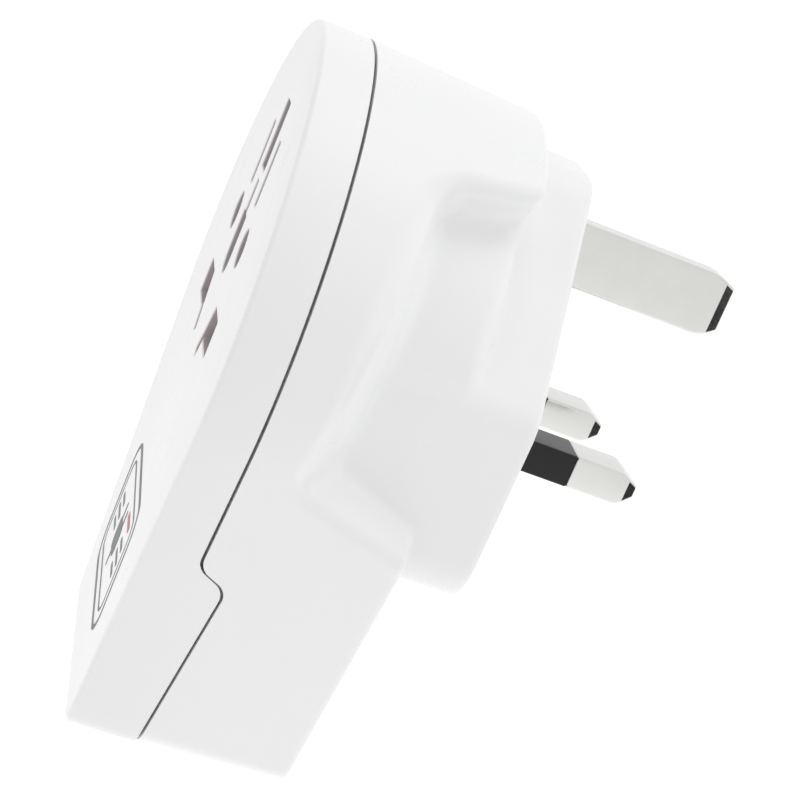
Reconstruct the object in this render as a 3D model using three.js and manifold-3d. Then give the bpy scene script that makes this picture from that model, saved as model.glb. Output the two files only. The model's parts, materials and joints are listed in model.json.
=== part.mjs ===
// A plug-through travel adapter: a multi-standard socket in front and a three-pin plug behind.
// Millimetres. +Z is up, the plug's pins point along +Y, and the socket face looks along -Y.
// The origin lies midway between the live and neutral pins, in the rear face of the plug base.
import * as THREE from "three";
import { mergeVertices } from "three/addons/utils/BufferGeometryUtils.js";
import Module from "manifold-3d";

// Case outline, seen from the front: a round top whose sides run on as straight tapering lines.
const CASE = { radius: 33.9, centreZ: 2.8, sideTilt: 16.6, bottomZ: -48.2, cornerRadius: 3 };
const FACE_Y = -36.2; // the flat socket face
const FACE_EDGE = 0.6; // rounding of the face's rim
const FACE_WALL = 2; // thickness of the face behind its apertures
const WALL = 2.3; // moulded wall of both shells

// Seam between the shells, from the side. It steps back near the bottom.
const SEAM = {
  y: -29.7,
  gap: 0.3,
  stepTopZ: -21,
  stepBottomZ: -22.95,
  bend: 2.2,
  lowerY: -25.75,
  lowerTilt: 0.07,
};
// Lip of the rear shell that fits inside the front one.
const TONGUE = { inset: 1.4, reach: 1.4, rootY: -24.6, fit: 0.25 };

// Rear shell: drafted sides, and a rear wall that leans with height.
const DRAFT = 0.045;
const REAR = { atPins: -8.15, lean: 0.014, edge: 0.9 };

// Finger grips: two pockets moulded into the sides of the rear shell. The front wall slopes from
// its outer edge down to the floor, each at a depth of [at z = 0, lean with z]. The ledge below
// and the ceiling above drift as they run back.
const GRIP = { depth: 6.9, outerEdge: [-23.3, 0.11], innerEdge: [-19.3, 0.055] };
const ledgeZ = (x, y) => 14.7 - 1.025 * x - 0.425 * y;
const ceilingZ = (x, y) => 22.8 + 0.5 * x + 1.23 * y - 0.045 * x * y;

// Plug base and its three rectangular pins.
const BASE = { topZ: 31.85, topHalf: 6.6, shoulderZ: 7, half: 27.3, bottomHalf: 26.3, bottomZ: -16.8 };
const BASE_CORNER = { top: 4, shoulder: 5, bottom: 6 };
const BASE_EDGE = 1;
const BASE_WALL = 3;
const EARTH_PIN = { x: 0, z: 22.23, width: 4, height: 7.95, length: 22.73 };
const POWER_PIN = { x: 11.11, z: 0, width: 6.35, height: 4, length: 17.7 };
const PIN_ROOT_Y = -9.4; // where the pins end inside the case
const EARTH_SHOULDER = { low: [-3.4, -5, 17], high: [3.4, -3.1, 27.4] }; // flange that holds the pin in
const POWER_SHOULDER = { low: [7.4, -7.4, -2.9], high: [14.8, -5.9, 2.9] };
const SLEEVE = { rootY: -5.8, length: 9.3, wall: 0.45 };
const PIN_FIT = 0.12; // clearance of a pin in its hole

// Socket apertures in the face, by the plug that they take.
const APERTURE = {
  earthSlot: { x: 0, z: 22.4, width: 4.5, height: 8.6 },
  powerSlot: { x: 11.11, z: 0.2, width: 7.2, height: 4.5 },
  bladeSlot: { x: 6.35, z: 18.9, width: 1.9, height: 8 },
  roundHole: { x: 9.5, z: 10.4, radius: 2.4 },
  earthHole: { z: 7.2, radius: 2.5, topZ: 12.4 },
  thinEarthSlot: { z: 14.4, width: 1.9, height: 4.6 },
  slantedSlot: { x: 6.6, z: -1.3, width: 1.8, height: 7.2, tilt: 30 },
};

// Safety shutter: one plate that slides down behind the face.
const SHUTTER = { frontY: -33.3, thickness: 1.9, topZ: 3.1, bottomZ: -3.1, half: 15.4 };
const SHUTTER_CAM = { half: 4.9, armWidth: 1.8, bottomZ: 18.3, topZ: 23.6 }; // an earth pin pushes it
const SPRING = { topZ: -3.2, bottomZ: -16, y: -32.1, coilRadius: 1.15, wireRadius: 0.25, turns: 7 };
const CARRIER_PLATE = { frontY: -30.4, thickness: 1.6, radius: 28.5, bottomZ: -7 };

// Contacts and fuse.
const STRIP = 0.8; // thickness of the brass strips
const CONTACT_BACK_Y = -13.4;
const FUSE = { y: -6.9, bottomZ: -11.2, length: 25.4, bodyRadius: 2.95, capRadius: 3.17, capLength: 6.3 };
const FUSE_DOOR = { half: 4.4, bottomZ: -12.6, topZ: 15.6, thickness: 2, fit: 0.25 };

// Screws that close the shells, at [x, z].
const SCREW_PLACES = [[-20.2, 3.5], [20.2, 3.5], [-10.5, -39], [10.5, -39]];
const SCREW = { headRadius: 2.3, headLength: 1.6, shankRadius: 1.1, headY: -16.4, tipY: -31.2 };
const BOSS = { radius: 3.5, wellRadius: 2.6, holeRadius: 1.3, startY: -24.4 }; // in the rear shell
const PILOT_BOSS = { radius: 2.9, endY: -24.8 }; // in the front shell

const wasm = await Module();
wasm.setup();

const radians = THREE.MathUtils.degToRad;

// ---- solids -------------------------------------------------------------------------------------

function solidOf(geometry) {
  const bare = geometry.clone();
  bare.deleteAttribute("normal");
  bare.deleteAttribute("uv");
  const merged = mergeVertices(bare, 1e-4);
  const corners = merged.index ? merged.index.array : merged.attributes.position.array.map((_, i) => i);
  return new wasm.Manifold(
    new wasm.Mesh({
      numProp: 3,
      vertProperties: new Float32Array(merged.attributes.position.array),
      triVerts: new Uint32Array(corners),
    }),
  );
}

function geometryOf(solid) {
  const mesh = solid.getMesh();
  const geometry = new THREE.BufferGeometry();
  geometry.setAttribute("position", new THREE.BufferAttribute(mesh.vertProperties, 3));
  geometry.setIndex(new THREE.BufferAttribute(mesh.triVerts, 1));
  geometry.computeVertexNormals();
  return geometry;
}

const join = (...solids) => solids.reduce((all, next) => all.add(next));
const cut = (body, ...tools) => tools.reduce((rest, tool) => rest.subtract(tool), body);

// A box between two corners.
function block(low, high) {
  const size = high.map((value, i) => value - low[i]);
  const centre = high.map((value, i) => (value + low[i]) / 2);
  return solidOf(new THREE.BoxGeometry(...size).translate(...centre));
}

// A cylinder along Y.
function rod(x, z, radius, y0, y1, sides = 24) {
  const geometry = new THREE.CylinderGeometry(radius, radius, y1 - y0, sides);
  return solidOf(geometry.translate(x, (y0 + y1) / 2, z));
}

// A flat shape pushed along Z, from its points [x, y].
function pushZ(points, start, end) {
  const shape = new THREE.Shape(points.map(([x, y]) => new THREE.Vector2(x, y)));
  const geometry = new THREE.ExtrudeGeometry(shape, { depth: end - start, bevelEnabled: false });
  return solidOf(geometry.translate(0, 0, start));
}

// A flat shape pushed along X, from its points [y, z].
const pushX = (points, start, end) => pushZ(points, start, end).rotate([90, 0, 90]);

// A polygon with rounded corners, as points with their outward normals, anticlockwise.
// Each corner is [u, v, radius].
function roundedPolygon(corners, stepsPerCorner = 5) {
  const points = [];
  corners.forEach(([u, v, radius], i) => {
    const before = new THREE.Vector2(...corners.at(i - 1));
    const after = new THREE.Vector2(...corners[(i + 1) % corners.length]);
    const corner = new THREE.Vector2(u, v);
    const into = corner.clone().sub(before).normalize();
    const out = after.clone().sub(corner).normalize();
    const turn = Math.atan2(into.cross(out), into.dot(out));
    const signed = Math.sign(turn) * radius;
    const tangent = Math.abs(Math.tan(turn / 2)) * radius;
    const start = corner.clone().addScaledVector(into, -tangent);
    const centre = start.clone().add(new THREE.Vector2(-into.y, into.x).multiplyScalar(signed));
    for (let k = 0; k <= stepsPerCorner; k++) {
      const angle = (turn * k) / stepsPerCorner;
      const normal = new THREE.Vector2(into.y, -into.x).rotateAround(new THREE.Vector2(), angle);
      const place = centre.clone().addScaledVector(normal, signed);
      points.push({ x: place.x, z: place.y, nx: normal.x, nz: normal.y });
    }
  });
  return points;
}

// The case outline moved in by an inset, as points with their outward normals, anticlockwise
// from the lower right corner. Points on the straight sides stay abreast of each other.
function caseOutline(inset) {
  const { radius, centreZ, sideTilt, bottomZ, cornerRadius } = CASE;
  const tilt = radians(sideTilt);
  const r = radius - inset;
  const corner = Math.max(cornerRadius - inset, 0.4);
  const cornerZ = bottomZ + inset + corner;
  const cornerX = (r - corner + (cornerZ - centreZ) * Math.sin(tilt)) / Math.cos(tilt);
  const arc = (cx, cz, size, from, to, steps) =>
    Array.from({ length: steps + 1 }, (_, k) => {
      const angle = from + ((to - from) * k) / steps;
      const [nx, nz] = [Math.cos(angle), Math.sin(angle)];
      return { x: cx + size * nx, z: cz + size * nz, nx, nz };
    });
  const side = [24, 16, 8].map((down) => ({
    x: r * Math.cos(tilt) - down * Math.sin(tilt),
    z: centreZ - r * Math.sin(tilt) - down * Math.cos(tilt),
    nx: Math.cos(tilt),
    nz: -Math.sin(tilt),
  }));
  const farSide = side.map((point) => ({ ...point, x: -point.x, nx: -point.nx })).reverse();
  return [
    ...arc(cornerX, cornerZ, corner, -Math.PI / 2, -tilt, 4),
    ...side,
    ...arc(0, centreZ, r, -tilt, Math.PI + tilt, 48),
    ...farSide,
    ...arc(-cornerX, cornerZ, corner, Math.PI + tilt, 1.5 * Math.PI, 4),
  ];
}

// One ring of a skin: an outline set at a depth that may change with height, and pulled in.
function ringOf(outline, depth, pull = () => 0) {
  const depthAt = typeof depth === "number" ? () => depth : depth;
  return outline.map((point) => {
    const shrink = pull(point);
    const z = point.z - point.nz * shrink;
    return new THREE.Vector3(point.x - point.nx * shrink, depthAt(z, point), z);
  });
}

// A closed body through rings that run anticlockwise from the front, first ring foremost.
function skin(rings) {
  const count = rings[0].length;
  const index = [];
  for (let k = 0; k + 1 < rings.length; k++) {
    for (let i = 0; i < count; i++) {
      const [a, b] = [k * count + i, k * count + ((i + 1) % count)];
      index.push(a, b + count, b, a, a + count, b + count);
    }
  }
  const lastStart = (rings.length - 1) * count;
  const flat = (ring) => ring.map((p) => new THREE.Vector2(p.x, p.z));
  THREE.ShapeUtils.triangulateShape(flat(rings[0]), []).forEach(([a, b, c]) => index.push(a, b, c));
  THREE.ShapeUtils.triangulateShape(flat(rings.at(-1)), []).forEach(([a, b, c]) =>
    index.push(lastStart + a, lastStart + c, lastStart + b),
  );
  const geometry = new THREE.BufferGeometry().setFromPoints(rings.flat());
  geometry.setIndex(index);
  return solidOf(geometry);
}

const prism = (outline, y0, y1) => skin([ringOf(outline, y0), ringOf(outline, y1)]);

// Everything behind the seam line, moved along Y by a shift.
function behindSeam(shift) {
  const reach = 60;
  const lowerEnd = SEAM.lowerY - SEAM.lowerTilt * (reach + SEAM.stepBottomZ);
  const corners = [
    [SEAM.y, reach, 0],
    [SEAM.y, SEAM.stepTopZ, SEAM.bend],
    [SEAM.lowerY, SEAM.stepBottomZ, SEAM.bend],
    [lowerEnd, -reach, 0],
    [reach, -reach, 0],
    [reach, reach, 0],
  ];
  const outline = roundedPolygon(corners).map(({ x, z }) => [x + shift, z]);
  return pushX(outline, -reach, reach);
}

// ---- shells -------------------------------------------------------------------------------------

const rearWallY = (z) => REAR.atPins + REAR.lean * z;

// A grip pocket on the +X side. Growing it leaves room for the wall around it.
function gripPocket(grow = 0) {
  const rise = 1.5 * grow; // the height that moves a sloping wall by the growth
  const wedge = skin(
    [-28, -22, -16, -10, -4].map((y) => [
      new THREE.Vector3(20, y, ledgeZ(20, y) - rise),
      new THREE.Vector3(40, y, ledgeZ(40, y) - rise),
      new THREE.Vector3(28, y, ceilingZ(28, y) + rise),
      new THREE.Vector3(12, y, ceilingZ(12, y) + rise),
    ]),
  );
  const proud = 4; // the front wall's slope runs on this far outside the case
  const [outerY, outerLean] = GRIP.outerEdge;
  const [innerY, innerLean] = GRIP.innerEdge;
  const outer = (z) => outerY + outerLean * z;
  const inner = (z) => innerY + innerLean * z;
  const start = (z) => outer(z) - ((inner(z) - outer(z)) * proud) / GRIP.depth - grow;
  const core = skin([
    ringOf(caseOutline(-proud), -60),
    ringOf(caseOutline(-proud), start),
    ringOf(caseOutline(GRIP.depth + grow), (z) => inner(z) - grow),
    ringOf(caseOutline(GRIP.depth + grow), 20),
  ]);
  return cut(wedge, core);
}

const mirrorX = (solid) => solid.mirror([1, 0, 0]);
const bothSides = (solid) => join(solid, mirrorX(solid));

function baseOutline() {
  const { topZ, topHalf, shoulderZ, half, bottomHalf, bottomZ } = BASE;
  return roundedPolygon([
    [bottomHalf, bottomZ, BASE_CORNER.bottom],
    [half, shoulderZ, BASE_CORNER.shoulder],
    [topHalf, topZ, BASE_CORNER.top],
    [-topHalf, topZ, BASE_CORNER.top],
    [-half, shoulderZ, BASE_CORNER.shoulder],
    [-bottomHalf, bottomZ, BASE_CORNER.bottom],
  ]);
}

// Angles of the steps that make a quarter-round rim.
const RIM = [0, 30, 60, 90].map(radians);

function plugBase() {
  const outline = baseOutline();
  const rim = RIM.map((a) =>
    ringOf(outline, -BASE_EDGE * (1 - Math.sin(a)), () => BASE_EDGE * (1 - Math.cos(a))),
  );
  return skin([ringOf(outline, -20), ...rim]);
}

function screwPlaces(make) {
  return SCREW_PLACES.map(([x, z]) => make(x, z));
}

function pinHoles() {
  const hole = (pin) =>
    block(
      [pin.x - pin.width / 2 - PIN_FIT, -12, pin.z - pin.height / 2 - PIN_FIT],
      [pin.x + pin.width / 2 + PIN_FIT, 5, pin.z + pin.height / 2 + PIN_FIT],
    );
  return join(hole(EARTH_PIN), bothSides(hole(POWER_PIN)));
}

function rearHousing() {
  const outline = caseOutline(0);
  const draftAt = (y) => DRAFT * (y - SEAM.y);
  const rim = RIM.map((a) =>
    ringOf(
      outline,
      (z) => rearWallY(z) - REAR.edge * (1 - Math.sin(a)),
      (p) => draftAt(rearWallY(p.z)) + REAR.edge * (1 - Math.cos(a)),
    ),
  );
  const startY = -33;
  const shell = skin([ringOf(outline, startY, () => draftAt(startY)), ...rim]);
  const gripped = cut(shell, bothSides(gripPocket()));
  const outside = join(gripped, plugBase()).intersect(behindSeam(SEAM.gap / 2));
  const tongue = prism(caseOutline(TONGUE.inset), startY, TONGUE.rootY).intersect(behindSeam(-TONGUE.reach));

  const inner = caseOutline(WALL + 0.8); // clear of the drafted sides
  const room = skin([ringOf(inner, -60), ringOf(inner, (z) => rearWallY(z) - WALL)]);
  const baseRoom = skin([-19, -BASE_WALL].map((y) => ringOf(baseOutline(), y, () => BASE_WALL)));
  const cavity = join(cut(room, bothSides(gripPocket(WALL))), baseRoom);

  const bosses = screwPlaces((x, z) => rod(x, z, BOSS.radius, BOSS.startY, z > -20 ? -BASE_WALL + 1 : -10));
  const wells = screwPlaces((x, z) => rod(x, z, BOSS.wellRadius, SCREW.headY - 0.1, 5));
  const holes = screwPlaces((x, z) => rod(x, z, BOSS.holeRadius, -40, 0));
  const door = FUSE_DOOR.half + FUSE_DOOR.fit;
  const doorLow = [-door, -12, FUSE_DOOR.bottomZ - FUSE_DOOR.fit];
  const doorHigh = [door, 5, FUSE_DOOR.topZ + FUSE_DOOR.fit];
  const walls = cut(join(outside, tongue), cavity);
  return cut(join(walls, ...bosses), pinHoles(), block(doorLow, doorHigh), ...wells, ...holes);
}

function slantedSlot(spec, y0, y1) {
  const bar = new THREE.BoxGeometry(spec.width, y1 - y0, spec.height);
  bar.rotateY(radians(spec.tilt));
  return solidOf(bar.translate(spec.x, (y0 + y1) / 2, spec.z));
}

// The face's apertures, as cutters between two depths and wider all round by an ease.
function apertures(y0, y1, ease = 0) {
  const slot = ({ x = 0, z, width, height }) => {
    const [halfWidth, halfHeight] = [width / 2 + ease, height / 2 + ease];
    return block([x - halfWidth, y0, z - halfHeight], [x + halfWidth, y1, z + halfHeight]);
  };
  const { earthSlot, powerSlot, bladeSlot, roundHole, earthHole, thinEarthSlot } = APERTURE;
  const keyhole = join(
    rod(0, earthHole.z, earthHole.radius + ease, y0, y1),
    block([-earthHole.radius - ease, y0, earthHole.z], [earthHole.radius + ease, y1, earthHole.topZ + ease]),
    slot(thinEarthSlot),
  );
  const hole = rod(roundHole.x, roundHole.z, roundHole.radius + ease, y0, y1);
  const slanted = slantedSlot(APERTURE.slantedSlot, y0, y1);
  return join(slot(earthSlot), keyhole, bothSides(join(slot(powerSlot), slot(bladeSlot), hole, slanted)));
}

function frontCover() {
  const outline = caseOutline(0);
  const rim = RIM.map((a) =>
    ringOf(outline, FACE_Y + FACE_EDGE * (1 - Math.sin(a)), () => FACE_EDGE * (1 - Math.cos(a))),
  );
  const outside = skin([...rim.reverse(), ringOf(outline, -20)]);
  const faceBack = FACE_Y + FACE_WALL;
  const room = prism(caseOutline(WALL), faceBack + 0.5, 0);
  const lipRoom = prism(caseOutline(TONGUE.inset - TONGUE.fit), faceBack + 0.8, 0);
  const lip = lipRoom.intersect(behindSeam(-TONGUE.reach - SEAM.gap));
  const shell = cut(outside, behindSeam(-SEAM.gap / 2), room, lip);
  const bosses = screwPlaces((x, z) => rod(x, z, PILOT_BOSS.radius, faceBack, PILOT_BOSS.endY));
  const pilots = screwPlaces((x, z) => rod(x, z, SCREW.shankRadius + 0.1, SCREW.tipY - 0.4, 0));
  const railX = SHUTTER.half + 0.3;
  const rail = bothSides(block([railX, faceBack, -9], [railX + 1.2, CARRIER_PLATE.frontY - 0.2, 4]));
  const springStop = block([-2.4, faceBack, SPRING.bottomZ - 2], [2.4, -30.4, SPRING.bottomZ - 0.2]);
  return cut(join(shell, ...bosses, rail, springStop), apertures(FACE_Y - 2, FACE_Y + 5), ...pilots);
}

// ---- plug pins ----------------------------------------------------------------------------------

// A rectangle in X and Z as a ring at a depth.
function rectangle({ x, z, width, height }, inset, y) {
  const [w, h] = [width / 2 - inset[0], height / 2 - inset[1]];
  return [[w, -h], [w, h], [-w, h], [-w, -h]].map(([dx, dz]) => new THREE.Vector3(x + dx, y, z + dz));
}

function earthPin() {
  const blade = skin([
    rectangle(EARTH_PIN, [0, 0], PIN_ROOT_Y),
    rectangle(EARTH_PIN, [0, 0], 19.6),
    rectangle(EARTH_PIN, [0.05, 0.45], 21.3),
    rectangle(EARTH_PIN, [1, 1.1], EARTH_PIN.length),
  ]);
  return join(blade, block(EARTH_SHOULDER.low, EARTH_SHOULDER.high));
}

// A power pin on the +X side. Its shank is necked under the sleeve.
function powerPin() {
  const neck = [SLEEVE.wall + 0.05, SLEEVE.wall + 0.05];
  const neckEnd = SLEEVE.length + 0.05;
  const blade = skin([
    rectangle(POWER_PIN, neck, PIN_ROOT_Y),
    rectangle(POWER_PIN, neck, neckEnd),
    rectangle(POWER_PIN, [0, 0], neckEnd + 0.01),
    rectangle(POWER_PIN, [0, 0], 15.5),
    rectangle(POWER_PIN, [0.05, 0.75], 16.9),
    rectangle(POWER_PIN, [0.85, 1.15], POWER_PIN.length),
  ]);
  return join(blade, block(POWER_SHOULDER.low, POWER_SHOULDER.high));
}

function sleeve() {
  const tube = (inset, y0, y1) => skin([y0, y1].map((y) => rectangle(POWER_PIN, [inset, inset], y)));
  return cut(tube(0, SLEEVE.rootY, SLEEVE.length), tube(SLEEVE.wall, SLEEVE.rootY - 1, SLEEVE.length + 1));
}

// ---- shutter and contacts -----------------------------------------------------------------------

function safetyShutter() {
  const { frontY, thickness, topZ, bottomZ, half } = SHUTTER;
  const { half: camHalf, armWidth, bottomZ: camBottomZ, topZ: camTopZ } = SHUTTER_CAM;
  const backY = frontY + thickness;
  const plate = block([-half, frontY, bottomZ], [half, backY, topZ]);
  const arm = block([camHalf - armWidth, frontY, 0], [camHalf, backY, camBottomZ + 1]);
  const cam = [
    [frontY + 0.4, camBottomZ],
    [backY, camBottomZ],
    [backY, camTopZ],
    [backY - 0.5, camTopZ],
  ];
  return join(plate, bothSides(arm), pushX(cam, -camHalf, camHalf));
}

class Helix extends THREE.Curve {
  getPoint(share, target = new THREE.Vector3()) {
    const { topZ, bottomZ, y, coilRadius, wireRadius, turns } = SPRING;
    const angle = share * turns * 2 * Math.PI;
    const low = bottomZ + wireRadius;
    const z = low + share * (topZ - wireRadius - 0.05 - low);
    return target.set(coilRadius * Math.cos(angle), y + coilRadius * Math.sin(angle), z);
  }
}

function shutterSpring() {
  const wire = new THREE.Shape().absarc(0, 0, SPRING.wireRadius, 0, 2 * Math.PI);
  const steps = SPRING.turns * 10;
  const options = { steps, curveSegments: 6, bevelEnabled: false, extrudePath: new Helix() };
  return solidOf(new THREE.ExtrudeGeometry(wire, options));
}

function contactCarrier() {
  const { frontY, thickness, radius, bottomZ } = CARRIER_PLATE;
  const backY = frontY + thickness;
  const disc = rod(0, CASE.centreZ, radius, frontY, backY, 48);
  const plate = disc.intersect(block([-27, frontY, bottomZ], [27, backY, 40]));
  const fences = bothSides(block([3.6, backY - 0.2, 12], [4.2, -15, 27]));
  const screwEyes = screwPlaces((x, z) => rod(x, z, PILOT_BOSS.radius + 0.5, -40, 0));
  return cut(join(plate, fences), apertures(frontY - 2, backY + 0.3, 0.3), ...screwEyes);
}

// A pair of spring leaves that reach forward from the back strip and close at a waist.
// The leaves face each other across the pin's axis (X or Z) and are as wide as a width.
function leafPair(x, z, gap, width, across, frontY) {
  const half = gap / 2;
  const backY = CONTACT_BACK_Y + 0.1;
  const waistY = frontY + 3;
  const leaf = [
    [backY, half + 1],
    [waistY, half],
    [frontY, half + 0.8],
    [frontY, half + 0.8 + STRIP * 0.8],
    [waistY, half + STRIP * 0.8],
    [backY, half + 1 + STRIP * 0.8],
  ];
  const upper = pushX(leaf, -width / 2, width / 2);
  const pair = join(upper, upper.mirror([0, 0, 1]));
  return (across === "X" ? pair.rotate([0, 90, 0]) : pair).translate([x, 0, z]);
}

// The back strip of a contact, in X and Z.
const backStrip = (x0, x1, z0, z1) => block([x0, CONTACT_BACK_Y, z0], [x1, CONTACT_BACK_Y + STRIP, z1]);

function powerContact() {
  const { powerSlot, bladeSlot, roundHole } = APERTURE;
  return join(
    backStrip(6, 14.4, -5, 15.4),
    backStrip(5, 8.8, 12, 22),
    leafPair(powerSlot.x, 0, 3.7, 6, "Z", -27),
    leafPair(roundHole.x, roundHole.z, 4, 4, "X", -27),
    leafPair(bladeSlot.x, bladeSlot.z, 0.7, 5, "X", -27),
  );
}

function earthContact() {
  const { earthSlot, earthHole } = APERTURE;
  return join(
    backStrip(-3.6, 3.6, 3, 27),
    leafPair(0, earthSlot.z + 0.8, 3.6, 6, "X", -27),
    leafPair(0, earthHole.z, 3.9, 5, "X", -27),
  );
}

// A strap between two heights and depths, as a bent strip seen from the side.
function bentStrap(path, x0, x1) {
  const [first, middle, last] = path;
  const bars = [[first, middle], [middle, last]].map(([from, to]) => {
    const low = [x0, Math.min(from[0], to[0]), Math.min(from[1], to[1])];
    const high = [x1, Math.max(from[0], to[0]) + STRIP, Math.max(from[1], to[1]) + STRIP];
    return block(low, high);
  });
  return join(...bars);
}

const STRAP_Y = CONTACT_BACK_Y + STRIP + 0.1;

const earthStrap = () => bentStrap([[STRAP_Y, 24], [STRAP_Y, 20], [-9.6 - STRIP, 20]], -1.9, 1.9);

const neutralStrap = () => bentStrap([[STRAP_Y, -3.5], [STRAP_Y, 0], [-9.6 - STRIP, 0]], -13.2, -9);

function liveFeedStrap() {
  const rise = block([6.6, STRAP_Y, 8], [12, STRAP_Y + STRIP, 13.4]);
  const reach = block([-2.5, STRAP_Y, 9.4], [7, STRAP_Y + STRIP, 13.4]);
  return join(rise, reach);
}

function livePinStrap() {
  const foot = block([9, -9.6 - STRIP, -1.6], [13.2, -9.6, 1.4]);
  const drop = block([9, -9.6 - STRIP, -9.8], [11.4, -9.6, -1.4]);
  const reach = block([-2.5, -11.5, -9.8], [9.4, -11.5 + STRIP, -6]);
  const rise = block([9, -11.5, -9.8], [9.4 + STRIP, -9.6, -6]);
  return join(foot, drop, reach, rise);
}

// ---- fuse ---------------------------------------------------------------------------------------

// A cylinder along Z at the fuse's axis.
function fuseRod(radius, z0, z1) {
  const geometry = new THREE.CylinderGeometry(radius, radius, z1 - z0, 28).rotateX(Math.PI / 2);
  return solidOf(geometry.translate(0, FUSE.y, (z0 + z1) / 2));
}

const fuseTopZ = FUSE.bottomZ + FUSE.length;

function fuseBody() {
  const [low, high] = [FUSE.bottomZ + 0.6, fuseTopZ - 0.6];
  const waist = fuseRod(FUSE.bodyRadius, low + FUSE.capLength - 0.5, high - FUSE.capLength + 0.5);
  return join(fuseRod(FUSE.bodyRadius - 0.4, low, high), waist);
}

function fuseCap(z0, z1, opensUp) {
  const inside = fuseRod(FUSE.bodyRadius - 0.35, opensUp ? z0 + 0.5 : z0 - 1, opensUp ? z1 + 1 : z1 - 0.5);
  return cut(fuseRod(FUSE.capRadius, z0, z1), inside);
}

// A spring clip round a fuse cap, open to the rear so that the fuse pulls straight out.
function fuseClip(z0, z1, backY) {
  const inner = FUSE.capRadius + 0.1;
  const outer = inner + 0.5;
  const mouthY = FUSE.y + 1.6;
  const arch = (r) =>
    Array.from({ length: 11 }, (_, k) => {
      const angle = (Math.PI * k) / 10;
      return [r * Math.cos(angle), FUSE.y - r * Math.sin(angle)];
    });
  const inside = [[inner, mouthY], ...arch(inner), [-inner, mouthY]];
  const outside = [[-outer, mouthY], ...arch(outer).reverse(), [outer, mouthY]];
  const foot = block([-2.4, backY, z0], [2.4, FUSE.y - inner - 0.2, z1]);
  return join(pushZ([...inside, ...outside], z0, z1), foot);
}

function fuseCarrier() {
  const { half, bottomZ, topZ, thickness } = FUSE_DOOR;
  const door = block([-half, -thickness, bottomZ], [half, 0, topZ]);
  const slot = block([-2, -0.8, 13.4], [2, 1, 14.6]);
  const r = FUSE.bodyRadius + 0.15;
  const [low, high] = [FUSE.bottomZ + FUSE.capLength + 0.6, fuseTopZ - FUSE.capLength - 0.6];
  const saddle = block([-r - 0.9, FUSE.y - 1, low], [r + 0.9, -thickness + 0.2, high]);
  const endWall = (z) => block([-3, FUSE.y - 1, z], [3, -thickness + 0.2, z + 0.7]);
  const body = join(door, saddle, endWall(bottomZ + 0.3), endWall(topZ - 1));
  return cut(body, slot, fuseRod(r, FUSE.bottomZ - 0.3, fuseTopZ + 0.3));
}

// ---- screws -------------------------------------------------------------------------------------

function screw(x, z) {
  const { headRadius, headLength, shankRadius, headY, tipY } = SCREW;
  const head = rod(x, z, headRadius, headY, headY + headLength, 24);
  const shank = rod(x, z, shankRadius, tipY, headY + 0.1, 16);
  const slots = [0, 120, 240].map((turn) => {
    const arm = new THREE.BoxGeometry(1.5, 1, 0.5).translate(0.75, 0, 0).rotateY(radians(turn));
    return solidOf(arm.translate(x, headY + headLength, z));
  });
  return cut(join(head, shank), ...slots);
}

// ---- assembly -----------------------------------------------------------------------------------

function finish(color, roughness, metalness = 0) {
  return new THREE.MeshStandardMaterial({ color, roughness, metalness });
}

const WHITE = finish(0xf1f1f0, 0.35);
const TINTED = finish(0xcfc0c0, 0.5);
const CREAM = finish(0xe2dfd6, 0.6);
const NICKEL = finish(0xd8d8d4, 0.25, 1);
const BLACK = finish(0x2a2a2b, 0.5);
const BRASS = finish(0xb9973f, 0.35, 1);
const STEEL = finish(0xa9abad, 0.35, 1);
const CERAMIC = finish(0xeae6dc, 0.6);

const adapter = new THREE.Group();

function place(name, solid, material) {
  const mesh = new THREE.Mesh(geometryOf(solid), material);
  mesh.name = name;
  adapter.add(mesh);
}

place("front_cover", frontCover(), WHITE);
place("rear_housing", rearHousing(), WHITE);

place("earth_pin", earthPin(), NICKEL);
place("live_pin", powerPin(), NICKEL);
place("neutral_pin", mirrorX(powerPin()), NICKEL);
place("live_pin_sleeve", sleeve(), BLACK);
place("neutral_pin_sleeve", mirrorX(sleeve()), BLACK);

place("safety_shutter", safetyShutter(), TINTED);
place("shutter_spring", shutterSpring(), STEEL);
place("contact_carrier", contactCarrier(), CREAM);

place("live_contact", powerContact(), BRASS);
place("neutral_contact", mirrorX(powerContact()), BRASS);
place("earth_contact", earthContact(), BRASS);
place("earth_strap", earthStrap(), BRASS);
place("neutral_strap", neutralStrap(), BRASS);
place("live_feed_strap", liveFeedStrap(), BRASS);
place("live_pin_strap", livePinStrap(), BRASS);

place("fuse_body", fuseBody(), CERAMIC);
place("fuse_cap_lower", fuseCap(FUSE.bottomZ, FUSE.bottomZ + FUSE.capLength, true), NICKEL);
place("fuse_cap_upper", fuseCap(fuseTopZ - FUSE.capLength, fuseTopZ, false), NICKEL);
place("fuse_clip_lower", fuseClip(-9.6, -6.2, -11.5 + STRIP + 0.05), BRASS);
place("fuse_clip_upper", fuseClip(9.4, 13, STRAP_Y + STRIP + 0.1), BRASS);
place("fuse_carrier", fuseCarrier(), WHITE);

SCREW_PLACES.forEach(([x, z], i) => place(`housing_screw_${i + 1}`, screw(x, z), STEEL));

export default adapter;
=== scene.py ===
"""A plug-through travel adapter: white shells, plated pins, shutter, contacts and fuse.

The frame gives the sizes. Lengths in this file are in millimetres, and meshes are made in metres.
+Z is up, the pins point along +Y, and the socket face looks along -Y.
"""

import itertools
import json
import math

import bmesh
import bpy
import numpy as np
from mathutils import Matrix, Vector

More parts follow.
